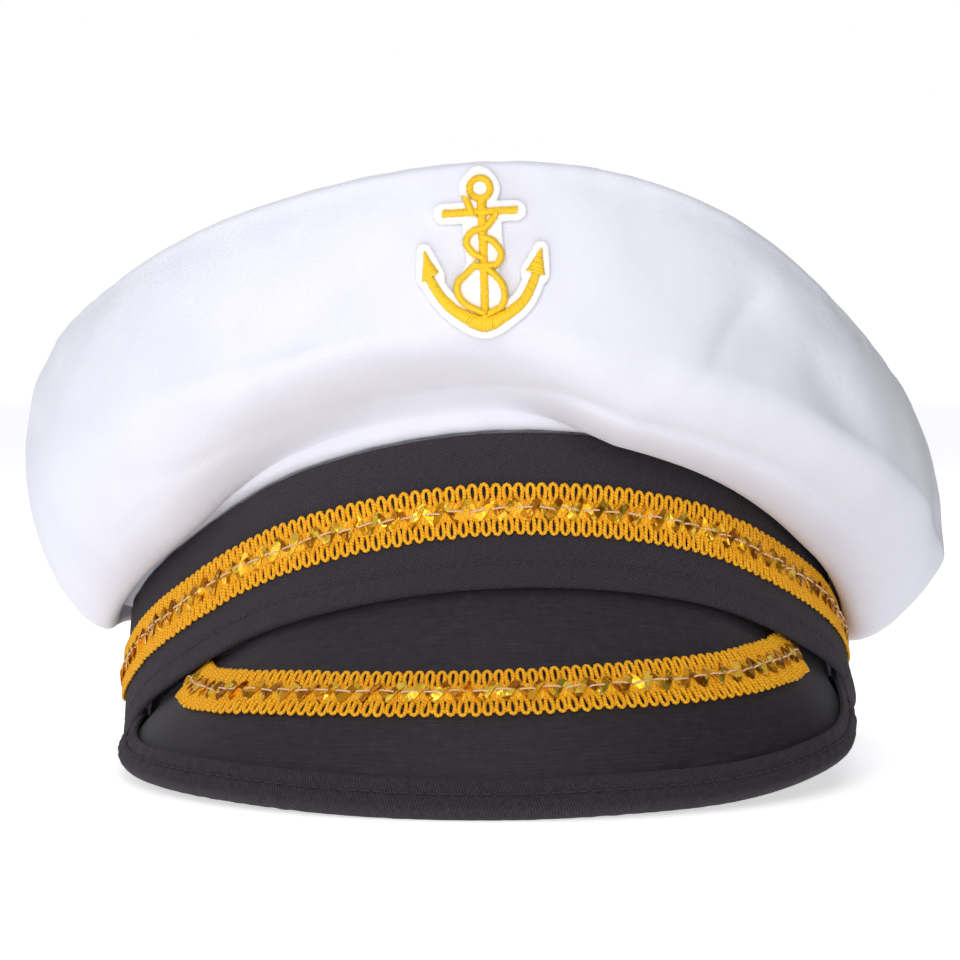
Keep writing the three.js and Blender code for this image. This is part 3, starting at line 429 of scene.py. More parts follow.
def tubes_mesh(name, path, normal, ring, closed=False):
    """A ring (side, up) in mm carried along many paths[path, step] at once; open ends get a fan."""
    count, steps = path.shape[:2]
    if closed:
        run = unit(np.roll(path, -1, 1) - np.roll(path, 1, 1))
    else:
        run = unit(np.gradient(path, axis=1))
    side = unit(np.cross(normal, run))
    up = np.cross(run, side)
    ring = np.broadcast_to(ring, (count, steps) + ring.shape[-2:])
    points = (path[:, :, None] + side[:, :, None] * ring[..., :1] + up[:, :, None] * ring[..., 1:])
    sides = points.shape[2]
    quads, corner = grid_faces(steps, sides, closed, True)
    step = np.linalg.norm(np.diff(path, axis=1), axis=-1)
    length = np.concatenate([np.zeros((count, 1)), np.cumsum(step, 1)], 1)
    length = np.concatenate([length, 2 * length[:, -1:] - length[:, -2:-1]], 1)
    round_it = np.broadcast_to(corner[..., 1] / sides, (count,) + corner.shape[:2])
    uv = np.stack([length[:, corner[..., 0]], round_it], -1)
    base = np.arange(count)[:, None, None] * steps * sides
    faces, flat_uv, flat = [(base + quads).reshape(-1, 4)], [uv], points.reshape(-1, 3)
    if not closed:
        middles = np.concatenate([path[:, 0], path[:, -1]])
        j = np.arange(sides)
        first = np.stack([(j + 1) % sides, j], -1)[None] + base
        last = np.stack([j, (j + 1) % sides], -1)[None] + base + (steps - 1) * sides
        hub = len(flat) + np.arange(count)
        fans = np.concatenate([
            np.concatenate([first, np.broadcast_to(hub[:, None, None], (count, sides, 1))], -1),
            np.concatenate([last, np.broadcast_to((hub + count)[:, None, None], (count, sides, 1))], -1)])
        faces.append(fans.reshape(-1, 3))
        flat_uv.append(np.zeros((fans.size // 3, 3, 2)))
        flat = np.concatenate([flat, middles])
    return fill_mesh(name, flat, faces, flat_uv)


def round_ring(width, height, sides):
    """An ellipse of that width and height, as side and up."""
    a = 2 * np.pi * np.arange(sides) / sides
    return np.stack([width / 2 * np.cos(a), height / 2 * np.sin(a)], -1)


def ripple(azimuth, level, slowest, fastest, slant, seed, waves=9):
    """A sum of sine waves that closes round the head, about -1 to 1: whole wave counts between the slowest
    and the fastest, each with its own slant up the wall and its own phase, so no two puckers are alike."""
    rng = np.random.default_rng(seed)
    total = 0
    for _ in range(waves):
        count = rng.integers(slowest, fastest + 1)
        lean, phase = rng.uniform(-slant, slant), rng.uniform(0, 2 * np.pi)
        total = total + np.sin(count * rad(azimuth) + 2 * np.pi * lean * level + phase)
    return total / np.sqrt(waves) / 1.4


print("helpers ready")

# %% [markdown]
# ## Laying trimmings along a line on a surface
#
# Braid, binding and stitches follow a line on the cloth. To lay one, the line is measured by its length, and
# at each place the surface's own two directions say how far to move in each parameter for one millimetre to
# the side. So a place is given by distance along, distance aside and height above the cloth.

# %% Laying along a line
LOOK_ALONG = 0.4


def two_ways(surface, u, v, eu, ev):
    """How the surface moves for one unit of u and of v, from small steps to both sides."""
    along_u = (surface(u + eu, v) - surface(u - eu, v)) / (2 * eu)
    return along_u, (surface(u, v + ev) - surface(u, v - ev)) / (2 * ev)


def outwards(surface, u, v, steps):
    """The unit normal: square to how the surface moves for u and for v."""
    pu, pv = two_ways(surface, u, v, *steps)
    return unit(np.cross(pu, pv))


def line_length(surface, line_u, line_v):
    step = np.linalg.norm(np.diff(surface(line_u, line_v), axis=0), axis=-1)
    return np.concatenate([[0], np.cumsum(step)])


def lay(surface, line_u, line_v, s, t, h, steps=(0.5, 0.5)):
    """Points and normals s mm along the line, t mm to its left seen from outside, h mm above the surface."""
    measured = line_length(surface, line_u, line_v)
    s, t, h = np.broadcast_arrays(np.asarray(s, float), t, h)
    at = lambda x: (np.interp(x, measured, line_u), np.interp(x, measured, line_v))
    u, v = at(s)
    pu, pv = two_ways(surface, u, v, *steps)
    normal = unit(np.cross(pu, pv))
    (u0, v0), (u1, v1) = at(s - LOOK_ALONG), at(s + LOOK_ALONG)
    side = unit(np.cross(normal, surface(u1, v1) - surface(u0, v0)))
    uu, vv, uv = (pu * pu).sum(-1), (pv * pv).sum(-1), (pu * pv).sum(-1)
    su, sv = (side * pu).sum(-1), (side * pv).sum(-1)
    square = uu * vv - uv**2
    u = u + t * (su * vv - sv * uv) / square
    v = v + t * (sv * uu - su * uv) / square
    normal = outwards(surface, u, v, steps)
    return surface(u, v) + normal * h[..., None], normal


hem = np.linspace(-180, 180, 721)
hem_length = line_length(lambda azimuth, up: band_point(azimuth, up, 0), hem, 0 * hem)[-1]
print("round the band's hem, mm:", hem_length.round(1))

# %% [markdown]
# ## Materials: colours and a node helper
#
# Colours are picked as sRGB hex values, as any colour picker shows them, and turned to linear numbers once.
# One small function adds any node with its settings and its links, so that a material reads like a recipe.

# %% Colours and nodes
def linear(hex_colour):
    """sRGB hex to linear red, green, blue, alpha."""
    c = np.array([int(hex_colour[i:i + 2], 16) / 255 for i in (0, 2, 4)])
    return (*np.where(c <= 0.04045, c / 12.92, ((c + 0.055) / 1.055)**2.4).tolist(), 1.0)


def add(tree, kind, inputs=None, **settings):
    """Adds one node. Settings are its own properties; inputs are numbers, colours, sockets or other nodes."""
    made = tree.nodes.new(kind)
    for key, value in settings.items():
        setattr(made, key, value)
    for key, value in (inputs or {}).items():
        if isinstance(value, bpy.types.Node):
            value = value.outputs[0]
        if isinstance(value, bpy.types.NodeSocket):
            tree.links.new(value, made.inputs[key])
        else:
            made.inputs[key].default_value = value
    return made


def start_cloth(name):
    """A material with nothing in it but the piece's UV map, split into mm across and mm up."""
    material = bpy.data.materials.new(name)
    material.use_nodes = True
    tree = material.node_tree
    tree.nodes.clear()
    uv = add(tree, "ShaderNodeUVMap", uv_map="cloth")
    split = add(tree, "ShaderNodeSeparateXYZ", {0: uv})
    return material, tree, uv, split.outputs[0], split.outputs[1]


def wave(tree, across, up, per_across, per_up):
    """sin of 2 pi (across * per_across + up * per_up): threads or ribs at that many per millimetre."""
    a = add(tree, "ShaderNodeMath", {0: across, 1: 2 * np.pi * per_across}, operation="MULTIPLY")
    b = scaled(tree, up, 2 * np.pi * per_up, a)
    return add(tree, "ShaderNodeMath", {0: b}, operation="SINE")


def noise(tree, place, scale, detail, roughness=0.5):
    return add(tree, "ShaderNodeTexNoise", {"Vector": place, "Scale": scale, "Detail": detail,
                                            "Roughness": roughness})


def scaled(tree, value, by, plus):
    """value * by + plus, where any of them may be a node."""
    return add(tree, "ShaderNodeMath", {0: value, 1: by, 2: plus}, operation="MULTIPLY_ADD")


def shade(tree, factor, *stops):
    """A colour ramp from (place, hex) stops."""
    ramp = add(tree, "ShaderNodeValToRGB", {0: factor})
    cells = ramp.color_ramp.elements
    for k, (place, colour) in enumerate(stops):
        cell = cells[k] if k < 2 else cells.new(place)
        cell.position, cell.color = place, linear(colour)
    return ramp


def finish_cloth(tree, colour, height, depth_mm, **sockets):
    """Joins colour and bump to the shader; sockets are its plain numbers. Depth is the bump's full height."""
    bump = add(tree, "ShaderNodeBump", {"Strength": 1.0, "Distance": depth_mm / 1000, "Height": height})
    numbers = {key.replace("_", " "): value for key, value in sockets.items()}
    shader = add(tree, "ShaderNodeBsdfPrincipled", {"Base Color": colour, "Normal": bump, **numbers})
    add(tree, "ShaderNodeOutputMaterial", {0: shader})


# %% [markdown]
# ## White cotton
#
# The crown is plain-woven cotton, piece-dyed white, over a thin padding. Its threads are about 0.3 mm apart,
# too fine to show here, so the weave is drawn at 0.55 mm. Cotton is matt with a soft fuzz, which the sheen
# gives, and large soft clouds in the bump stand for the padding under it.

# %% White cotton
COTTON_THREAD = 0.55
cotton, tree, uv, across, up = start_cloth("white_cotton_over_padding")
warp = wave(tree, across, up, 1 / COTTON_THREAD, 0)
weft = wave(tree, across, up, 0, 1 / COTTON_THREAD)
weave = add(tree, "ShaderNodeMath", {0: warp, 1: weft}, operation="MULTIPLY")
fuzz = noise(tree, uv, 1.7, 3.0, 0.6)
cloud = noise(tree, uv, 0.07, 3.0, 0.5)
tint = shade(tree, cloud, (0.3, "E8E8F2"), (0.7, "ECECF5"))
rough = scaled(tree, fuzz, 1.0, weave)
height = scaled(tree, cloud, 30.0, rough)
finish_cloth(tree, tint, height, 0.016, Roughness=0.95, Sheen_Weight=0.15, Sheen_Roughness=0.6,
             Specular_IOR_Level=0.2)
print("cotton:", len(tree.nodes), "nodes")

# %% [markdown]
# ## Black twill
#
# The headband is cotton twill: each weft thread passes over two and under one, one step further along in
# every row, which leaves fine diagonal ribs. The ribs catch the light and the grooves between them stay dark.

# %% Black twill
TWILL_RIB, TWILL_LEAN = 0.55, 0.80
twill, tree, uv, across, up = start_cloth("black_cotton_twill")
ribs = wave(tree, across, up, TWILL_LEAN / TWILL_RIB, -(1 - TWILL_LEAN**2)**0.5 / TWILL_RIB)
threads = wave(tree, across, up, 0.5 / TWILL_RIB, 1.6 / TWILL_RIB)
lint = noise(tree, uv, 0.9, 5.0, 0.7)
mixed = scaled(tree, threads, 0.35, ribs)
place = add(tree, "ShaderNodeMapRange", {"Value": mixed, "From Min": -1.35, "From Max": 1.35})
spread = scaled(tree, lint, 0.8, place)
# Painted highlight and shade: the rib and thread waves lighten the ribs and darken the grooves in the colour;
# the lint adds random tone.
tint = shade(tree, spread, (0.35, "221E22"), (1.0, "443E44"), (0.7, "302B30"))
finish_cloth(tree, tint, mixed, 0.10, Roughness=0.85, Sheen_Weight=0.03, Sheen_Roughness=0.5,
             Specular_IOR_Level=0.22)
print("twill:", len(tree.nodes), "nodes")

# %% [markdown]
# ## Black satin, bias binding and sewing thread
#
# The peak is covered in satin: long floating threads lie side by side, so it has a fine grain one way and a
# soft sheen. The binding is a strip of twill cut on the bias, so its ribs run steeper. Thread is polyester.

# %% Satin, binding, thread
satin, tree, uv, across, up = start_cloth("black_satin")
grain_place = add(tree, "ShaderNodeMapping", {"Vector": uv, "Scale": (0.12, 3.2, 1.0)})
grain = noise(tree, grain_place, 1.0, 4.0, 0.75)
slub = noise(tree, uv, 0.5, 4.0, 0.65)
blend = scaled(tree, slub, 0.5, grain)
tint = shade(tree, blend, (0.5, "1F1C1F"), (1.0, "373237"), (0.75, "292529"))
finish_cloth(tree, tint, grain, 0.07, Roughness=0.55, Sheen_Weight=0.02, Specular_IOR_Level=0.28)

binding, tree, uv, across, up = start_cloth("black_bias_binding")
ribs = wave(tree, across, up, 1.5, 0.5)
threads = wave(tree, across, up, 0.4, 2.2)
mixed = scaled(tree, threads, 0.4, ribs)
lint = noise(tree, uv, 0.8, 4.0, 0.7)
spread = scaled(tree, mixed, 0.22, lint)
# Painted highlight and shade: the rib wave lightens the ribs and darkens the grooves a little, over the
# lint's random tone.
tint = shade(tree, spread, (0.3, "262226"), (0.75, "3E383E"))
finish_cloth(tree, tint, mixed, 0.05, Roughness=0.8, Sheen_Weight=0.03, Specular_IOR_Level=0.22)

black_thread, tree, uv, across, up = start_cloth("black_polyester_thread")
ply = wave(tree, across, up, 1.6, 2)
# Painted shade and highlight: the ply wave darkens the twist's crevices and lightens its crests.
tint = shade(tree, ply, (0.0, "2A262A"), (1.0, "4C464C"))
finish_cloth(tree, tint, ply, 0.04, Roughness=0.6, Specular_IOR_Level=0.3)
print("satin, binding and thread ready")

# %% [markdown]
# ## Braid yarn, gold film, pale thread, felt and embroidery thread
#
# The braid's loops are a soft dyed yarn of two plies. The ribbon between them is plastic film with a metal
# coat, which is the only truly metallic part. Felt is pressed fibre without a weave. Embroidery is rayon,
# which is glossy along its threads.

# %% Braid, felt and embroidery
yarn, tree, uv, across, up = start_cloth("golden_yellow_braid_yarn")
ply = wave(tree, across, up, 1.25, 1)
fibre = noise(tree, uv, 1.6, 3.0)
blend = scaled(tree, ply, 0.25, fibre)
# Painted shade and highlight: the ply wave darkens the crevices between the plies and lightens their crests;
# the fibre noise adds random tone.
tint = shade(tree, blend, (0.25, "F09C08"), (0.75, "FFC828"), (0.5, "FFB414"))
finish_cloth(tree, tint, ply, 0.05, Roughness=0.6, Specular_IOR_Level=0.3)

film_gold, tree, uv, across, up = start_cloth("metallised_gold_film")
place = add(tree, "ShaderNodeTexCoord").outputs["Object"]
facet = add(tree, "ShaderNodeTexVoronoi", {"Vector": place, "Scale": 420.0})
painted_glint = add(tree, "ShaderNodeSeparateXYZ", {0: facet.outputs["Color"]})
crinkle = noise(tree, uv, 0.9, 2.0)
# Painted glints: each facet of the crinkled film gets its own brightness, from dark brown to pale gold, as if
# it caught the light its own way.
tint = shade(tree, painted_glint, (0.15, "A8660E"), (0.9, "FFDC50"), (0.5, "ECA81C"))
finish_cloth(tree, tint, crinkle, 0.10, Roughness=0.32, Metallic=0.85)

pale_thread, tree, uv, across, up = start_cloth("pale_rayon_thread")
ply = wave(tree, across, up, 2.2, 1)
# Painted shade and highlight: the ply wave darkens the twist's crevices and lightens its crests.
tint = shade(tree, ply, (0.0, "E8B887"), (1.0, "FFE6C8"))
finish_cloth(tree, tint, ply, 0.05, Roughness=0.5)

felt, tree, uv, across, up = start_cloth("white_wool_felt")
fibre = noise(tree, uv, 2.2, 5.0, 0.75)
tint = shade(tree, fibre, (0.3, "FBFBFC"), (0.7, "FFFFFF"))
finish_cloth(tree, tint, fibre, 0.06, Roughness=0.95, Sheen_Weight=0.1, Specular_IOR_Level=0.2)

rayon, tree, uv, across, up = start_cloth("yellow_rayon_embroidery_thread")
sheen = noise(tree, uv, 1.5, 3.0)
# Painted sheen: the noise lightens the thread's colour in patches; it is the bump as well.
tint = shade(tree, sheen, (0.3, "FFC806"), (0.7, "FFE028"))
finish_cloth(tree, tint, sheen, 0.04, Roughness=0.42, Sheen_Weight=0.1)
print("materials:", len(bpy.data.materials))

# %% [markdown]
# ## The crown's cloth
#
# The wall is cut from two panels that meet at the sides. It is loose, so it slumps: a crease stands above
# the taut strip over the band, soft folds run across the front, and short puckers radiate from every seam.
# Each of them is a hollow or a ridge that moves the wall in or out, worked out for the whole grid at once.

# %% The crown's folds and puckers
# Azimuth, level, spread in degrees, breadth in levels, slant in levels per degree, inward depth in mm.
FOLDS = [(19, 0.48, 5, 0.07, 0.02, 0.5), (11, 0.5, 8, 0.05, 0.002, 0.4),
         (-8, 0.49, 12, 0.05, -0.003, 0.4), (29.5, 0.62, 4.5, 0.028, 0.0275, 0.8),
         (26, 0.62, 5, 0.05, 0.026, -0.4), (34, 0.6, 5, 0.05, 0.026, 0.2),
         (42.5, 0.652, 4, 0.05, 0.01, 0.3), (39, 0.61, 5, 0.035, 0.0137, 0.2),
         (46, 0.52, 8, 0.05, 0.006, -0.2), (-25, 0.51, 4, 0.06, 0.027, 0.4),
         (-47, 0.387, 9, 0.022, -0.008, 0.7), (-53, 0.52, 5, 0.05, -0.004, 0.5),
         (-43, 0.48, 5, 0.05, 0.004, 0.3), (62, 0.42, 5, 0.04, 0.012, 0.5),
         (-33, 0.62, 12, 0.08, -0.004, 0.3),
         (75, 0.55, 6, 0.07, 0.01, 0.9), (-80, 0.62, 6, 0.07, -0.008, 0.8), (130, 0.45, 9, 0.08, 0.01, 1.2),
         (-140, 0.5, 10, 0.08, -0.01, 1.1), (178, 0.72, 14, 0.06, 0.004, 0.9)]

# The padding fills the large dents, so the cloth shows only this share of them.
DENTS_SHOWN = 0.6

# Heights above the wall's lowest line, in mm: the furrow, and the roll of cloth below it.
FURROW, FURROW_WIDTH, FURROW_DEPTH = 6.2, 1.1, 0.9
LOW_ROLL, LOW_ROLL_WIDTH, LOW_ROLL_OUT = 3, 2, 0.5


# At the rim's seam, in mm: the groove, and the swell of cloth beside it.
GROOVE, GROOVE_WIDTH = 0.8, 0.8
SWELL, SWELL_PLACE, SWELL_WIDTH = 0.5, 3, 2


def from_rim(level):
    """Millimetres from the rim down the wall, near enough for stitches and puckers."""
    return (1 - level) * 0.9 * WALL_HEIGHT


def seam_roll(away):
    """How far the cloth lies below its smooth face, away mm from the rim."""
    swell = SWELL * np.exp(-((away - SWELL_PLACE) / SWELL_WIDTH)**2)
    return GROOVE * np.exp(-away / GROOVE_WIDTH) - swell


def lowest_line():
    """At each azimuth, where outside the band the wall hangs lowest: its level and its height."""
    tried = np.linspace(LEVEL_STRIP, LEVEL_WIDE, 120)
    height = crown_profile(azimuths[:, None], tried)[1]
    return tried[height.argmin(1)], height.min(1)


LOWEST_LEVEL, LOWEST_HEIGHT = lowest_line()


def crease(azimuth, level):
    """A furrow 6 mm above the cloth's lowest line, sharpest on the slouched side, and a roll below it."""
    at = turned(azimuth, 0)
    low = np.interp(at, azimuths, LOWEST_LEVEL, period=360)
    above = crown_profile(azimuth, level)[1] - np.interp(at, azimuths, LOWEST_HEIGHT, period=360)
    sharp = 0.3 + 0.7 * smooth(azimuth, -6, 16) * (1 - smooth(azimuth, 50, 70))
    sharp = sharp * smooth(level, low - 0.02, low + 0.02) * (1 - smooth(level, LEVEL_WIDE - 0.05, LEVEL_WIDE))
    return sharp * (FURROW_DEPTH * np.exp(-((above - FURROW) / FURROW_WIDTH)**2)
                    - LOW_ROLL_OUT * np.exp(-((above - LOW_ROLL) / LOW_ROLL_WIDTH)**2))


def crown_folds(azimuth, level):
    """Inward depth of folds, crease, seam puckers and the padding's own unevenness, in mm."""
    depth = 0
    for centre, height, spread, breadth, slant, deep in FOLDS:
        turn = turned(azimuth, centre)
        depth = depth + deep * np.exp(-(turn / spread)**2 - ((level - height - slant * turn) / breadth)**2)
    padding = 0.55 * ripple(azimuth, level, 3, 11, 1.6, 3) + 0.22 * ripple(azimuth, level, 12, 30, 4, 4)
    depth = depth + crease(azimuth, level) + smooth(level, 0.08, 0.3) * padding
    rim_pucker = 0.5 * np.maximum(ripple(azimuth, level, 36, 84, 1, 5), -0.4) * np.exp(-from_rim(level) / 5)
    hem_pucker = 0.3 * ripple(azimuth, level, 30, 70, 1, 6) * np.exp(-np.maximum(level, 0) / 0.05)
    away = np.minimum(np.abs(turned(azimuth, SIDE_SEAM)), np.abs(turned(azimuth, -SIDE_SEAM)))
    side_seam = (1.1 * np.exp(-(away / 0.5)**2)
                 + 0.5 * np.exp(-away / 3.5) * np.sin(2 * np.pi * (9 * level + 0.6 * np.sin(14 * level))))
    return depth + rim_pucker + hem_pucker + side_seam * smooth(level, 0, 0.06)


def crown_face(azimuth, level):
    """The wall's face with its dents and folds, which fade out at the rim's seam."""
    radius, height = crown_profile(azimuth, level)
    inwards = DENTS_SHOWN * dents(azimuth, level) + crown_folds(azimuth, level)
    roll = seam_roll(from_rim(level))
    fade = 1 - np.exp(-from_rim(level) / 2)
    return polar(azimuth, radius - inwards * fade - roll, height - roll)


CROWN_STEPS = (0.4, 0.006)
front = np.linspace(-60, 60, 200)[:, None]
print("deepest fold at the front, mm:", float(crown_folds(front, np.linspace(0, 1, 90)).max().round(2)))

# %% The crown's wall
# Rows crowd at the strip and at the rim, where the cloth bends most. The last ones are mm from the rim.
SEAM_ROWS, WALL_MM, WALL_COLUMNS = np.array([2.6, 2.0, 1.5, 1.1, 0.75, 0.45, 0.2, 0]), 56, 440
NEAR_RIM, UNDER_RIM, ROUND_MM, UP_MM = 0.945, 0.97, 1.9, 70
levels = np.concatenate([np.linspace(-1, 0, 4)[:-1], np.linspace(0, 0.14, 16)[:-1],
                         np.linspace(0.14, NEAR_RIM, 66), 1 - SEAM_ROWS / WALL_MM])
inner_levels = np.concatenate([[1], np.linspace(UNDER_RIM, 0.06, 34), np.linspace(0, -1, 3)])
wall_azimuths = np.linspace(-180, 180, WALL_COLUMNS, endpoint=False)
outer = crown_face(wall_azimuths, levels[:, None])
inner = crown_face(wall_azimuths, inner_levels[:, None])
way_out = outwards(crown_face, wall_azimuths, np.minimum(inner_levels, UNDER_RIM)[:, None], CROWN_STEPS)
inner = inner - way_out * CLOTH
inner[0] = outer[-1] + polar(wall_azimuths, -CLOTH, -CLOTH)
rows = np.concatenate([outer, inner])
up_mm = np.concatenate([levels * UP_MM, UP_MM + np.cumsum(np.full(len(inner_levels), 2.0)), [2 * UP_MM]])
crown_mesh = sheet_mesh("crown_cloth", rows, mm_uv(np.append(wall_azimuths, 180) * ROUND_MM, up_mm))
crown_cloth = piece("crown_cloth", crown_mesh, cotton, "white_cotton", "crown_front", "crown_back")
print("crown wall faces:", len(crown_mesh.polygons))

# %% [markdown]
# ## The top panel
#
# The panel is one round of cloth, eased into the rim. Its edge rolls down into the same seam as the wall's,
# and its puckers fade towards the middle.

# %% Top panel
# The panel's slow waves, one row each: radians per SLUMP_SPAN across and to the back, phase, share of SLUMP.
SLUMP, SLUMP_SPAN = 1.1, 60
SLUMPS = [(2.1, 1.3, 0.4, 1), (-3.2, 2.7, 1.9, 0.6), (5.5, 4.1, 0, 0.35)]


def top_face(azimuth, share):
    """The soap film and its dome, with the rolled edge, its puckers and soft hollows."""
    from_edge = (1 - share) * crown_profile(azimuth, 1)[0]
    point = top_point(azimuth, share)
    pucker = 0.45 * np.maximum(ripple(azimuth, 0 * azimuth, 36, 84, 0, 5), -0.4)
    hollow = pucker * np.exp(-from_edge / 6) * (1 - np.exp(-from_edge / 2))
    x, y = point[..., 0] / SLUMP_SPAN, point[..., 1] / SLUMP_SPAN
    slump = sum(part * np.sin(a * x + b * y + phase) for a, b, phase, part in SLUMPS) * (1 - share**4)
    roll = seam_roll(from_edge)
    inwards = polar(azimuth, 1, 0) * (roll + GAP / 4)[..., None]
    return point - inwards - vec(0, 0, roll + hollow + SLUMP * slump)


EDGE_ROWS, PANEL_RADIUS = np.array([0, 0.2, 0.45, 0.8, 1.2, 1.8, 2.6, 3.6, 5]), 108
shares = np.concatenate([1 - EDGE_ROWS / PANEL_RADIUS, np.linspace(0.94, 0.02, 56)])
under_shares = np.concatenate([np.linspace(0.02, 0.97, 30), [1]])
over = top_face(wall_azimuths, shares[:, None])
under = top_face(wall_azimuths, under_shares[:, None]) - vec(0, 0, CLOTH)
under[-1] = over[0] + polar(wall_azimuths, -CLOTH, -CLOTH)
rows = np.concatenate([over, under])
quads, _ = grid_faces(len(rows), WALL_COLUMNS, True, True)
quads = quads[quads[:, 0] // WALL_COLUMNS != len(over) - 1]
hub = len(rows) * WALL_COLUMNS
here = np.arange(WALL_COLUMNS)
after = (here + 1) % WALL_COLUMNS
last_over, first_under = (len(over) - 1) * WALL_COLUMNS, len(over) * WALL_COLUMNS
cap_over = np.stack([last_over + here, last_over + after, 0 * here + hub], -1)
cap_under = np.stack([first_under + after, first_under + here, 0 * here + hub + 1], -1)
middle = top_face(np.zeros(1), np.zeros(1))
points = np.concatenate([rows.reshape(-1, 3), middle, middle - vec(0, 0, CLOTH)])
faces = [quads, cap_over, cap_under]
top_mesh = fill_mesh("top_cloth", points, faces, [points[:, :2][rim] for rim in faces])
top_cloth = piece("top_cloth", top_mesh, cotton, "white_cotton", "crown_top")
print("top panel faces:", len(top_mesh.polygons))

# %% [markdown]
# ## The headband
#
# A strip of twill is folded along the hem and along the top edge, so both edges are round. One row of
# stitches runs above the hem and draws the cloth in a little, more at some stitches than at others.

# %% Headband
HEM_STITCH, STITCH_PITCH, STITCH_LENGTH, STITCH_DIP, THREAD = 5.9, 3.1, 2.4, 0.5, 0.42
BAND_ROUND_MM = 1.68


def band_face(azimuth, up):
    """The band's face with the furrow of the stitch row, small puckers along both edges and the back seam."""
    furrow = 0.32 * np.exp(-((up - HEM_STITCH) / 0.9)**2)
    pucker = 0.16 * ripple(azimuth, up * 0, 50, 110, 0, 8) * np.exp(-((up - 3) / 3)**2)
    edge = 0.18 * ripple(azimuth, up * 0, 24, 60, 0, 9) * np.exp(-((up - BAND_HEIGHT) / 5)**2)
    seam = 0.7 * np.exp(-(turned(azimuth, 180) / 0.35)**2)
    wavy = 0.25 * ripple(azimuth, up / 40, 4, 14, 1, 10) * np.sin(np.pi * np.clip(up / BAND_HEIGHT, 0, 1))
    return band_point(azimuth, up, furrow + pucker + edge + seam + wavy)


turn = np.linspace(0, np.pi, 7)
fold = BAND_WALL / 2
face_ups = np.linspace(fold, BAND_HEIGHT - fold, 40)[1:-1]
back_ups = np.linspace(BAND_HEIGHT - fold, fold, 10)[1:-1]
ups = np.concatenate([fold - fold * np.sin(turn), face_ups,
                      BAND_HEIGHT - fold + fold * np.sin(turn), back_ups])
deep = np.concatenate([fold + fold * np.cos(turn), 0 * face_ups,
                       fold - fold * np.cos(turn), 0 * back_ups + BAND_WALL])
band_azimuths = np.linspace(-180, 180, 480, endpoint=False)
face = band_face(band_azimuths, ups[:, None])
way_in = outwards(lambda a, b: band_point(a, b, 0), band_azimuths, ups[:, None], (0.5, 0.5))
rows = face - way_in * deep[:, None, None]
up_mm = np.append(np.concatenate([[0], np.cumsum(np.hypot(np.diff(ups), np.diff(deep)))]), 2 * BAND_HEIGHT)
band_mesh = sheet_mesh("band_twill", rows, mm_uv(np.append(band_azimuths, 180) * BAND_ROUND_MM, up_mm))
band_twill = piece("band_twill", band_mesh, twill, "black_twill", "band")
print("band faces:", len(band_mesh.polygons))

# %% Stitches above the hem
def stitches(surface, line_u, line_v, steps):
    """Short paths along a line, one a stitch, whose ends dive into the cloth."""
    total = line_length(surface, line_u, line_v)[-1]
    starts = np.arange(STITCH_PITCH / 2, total - STITCH_LENGTH, STITCH_PITCH)[:, None]
    t = np.linspace(0, 1, 7)
    height = 0.16 - STITCH_DIP * (2 * t - 1)**6
    return lay(surface, line_u, line_v, starts + t * STITCH_LENGTH, 0 * t, height, steps)


line = np.linspace(-179.9, 179.9, 1441)
path, normal = stitches(band_face, line, np.full_like(line, HEM_STITCH), (0.2, 0.2))
hem_mesh = tubes_mesh("hem_stitches", path, normal, round_ring(THREAD, THREAD, 6))
hem_stitches = piece("hem_stitches", hem_mesh, black_thread, "black_twill")
print("stitches above the hem:", len(path))

# %% [markdown]
# ## The peak
#
# Two faces of satin are stretched over a stiff board. The rows run from the seam inside the band out to the
# edge on top, and back again below, so the piece is closed all round.

# %% Peak
ACROSS_MM, ALONG_MM = 36, 122


def thick(along):
    """Half the peak's thickness, thinner at the corners, where it turns up into the band."""
    return PEAK_THICKNESS / 2 * lerp(1, CORNER_SKIVE, smooth(np.abs(along), 0.85, 0.93))


def spaced(count):
    """Places along the peak, closer together towards its ends."""
    t = np.linspace(-1, 1, count)
    return PEAK_END * lerp(t, np.sin(t * np.pi / 2), 0.9)


places = spaced(321)
rows_in = np.concatenate([np.linspace(-1, -0.15, 6), np.linspace(0.0, 1, 48)])
over = peak_skin(places, rows_in[::-1, None], thick(places) + 0 * rows_in[:, None])
under = peak_skin(places, rows_in[:, None], -thick(places) + 0 * rows_in[:, None])
rows = np.concatenate([over, under])
up_mm = np.concatenate([-rows_in * ACROSS_MM, 60 + rows_in * ACROSS_MM, [100]])
satin_ends = [zip_up(0, len(rows) - 1, len(rows) // 2 - 1)]
satin_mesh = sheet_mesh("peak_satin", rows, mm_uv(np.append(places, 1) * ALONG_MM, up_mm), False, satin_ends)
peak_satin = piece("peak_satin", satin_mesh, satin, "black_satin", "visor")
print("peak faces:", len(satin_mesh.polygons))

# %% [markdown]
# ## The binding round the peak's edge
#
# A bias strip is folded over the edge and stitched through all layers. Its section is a flat U: a leaf above,
# a round fold past the edge, a leaf below. It swells a little between the stitches.

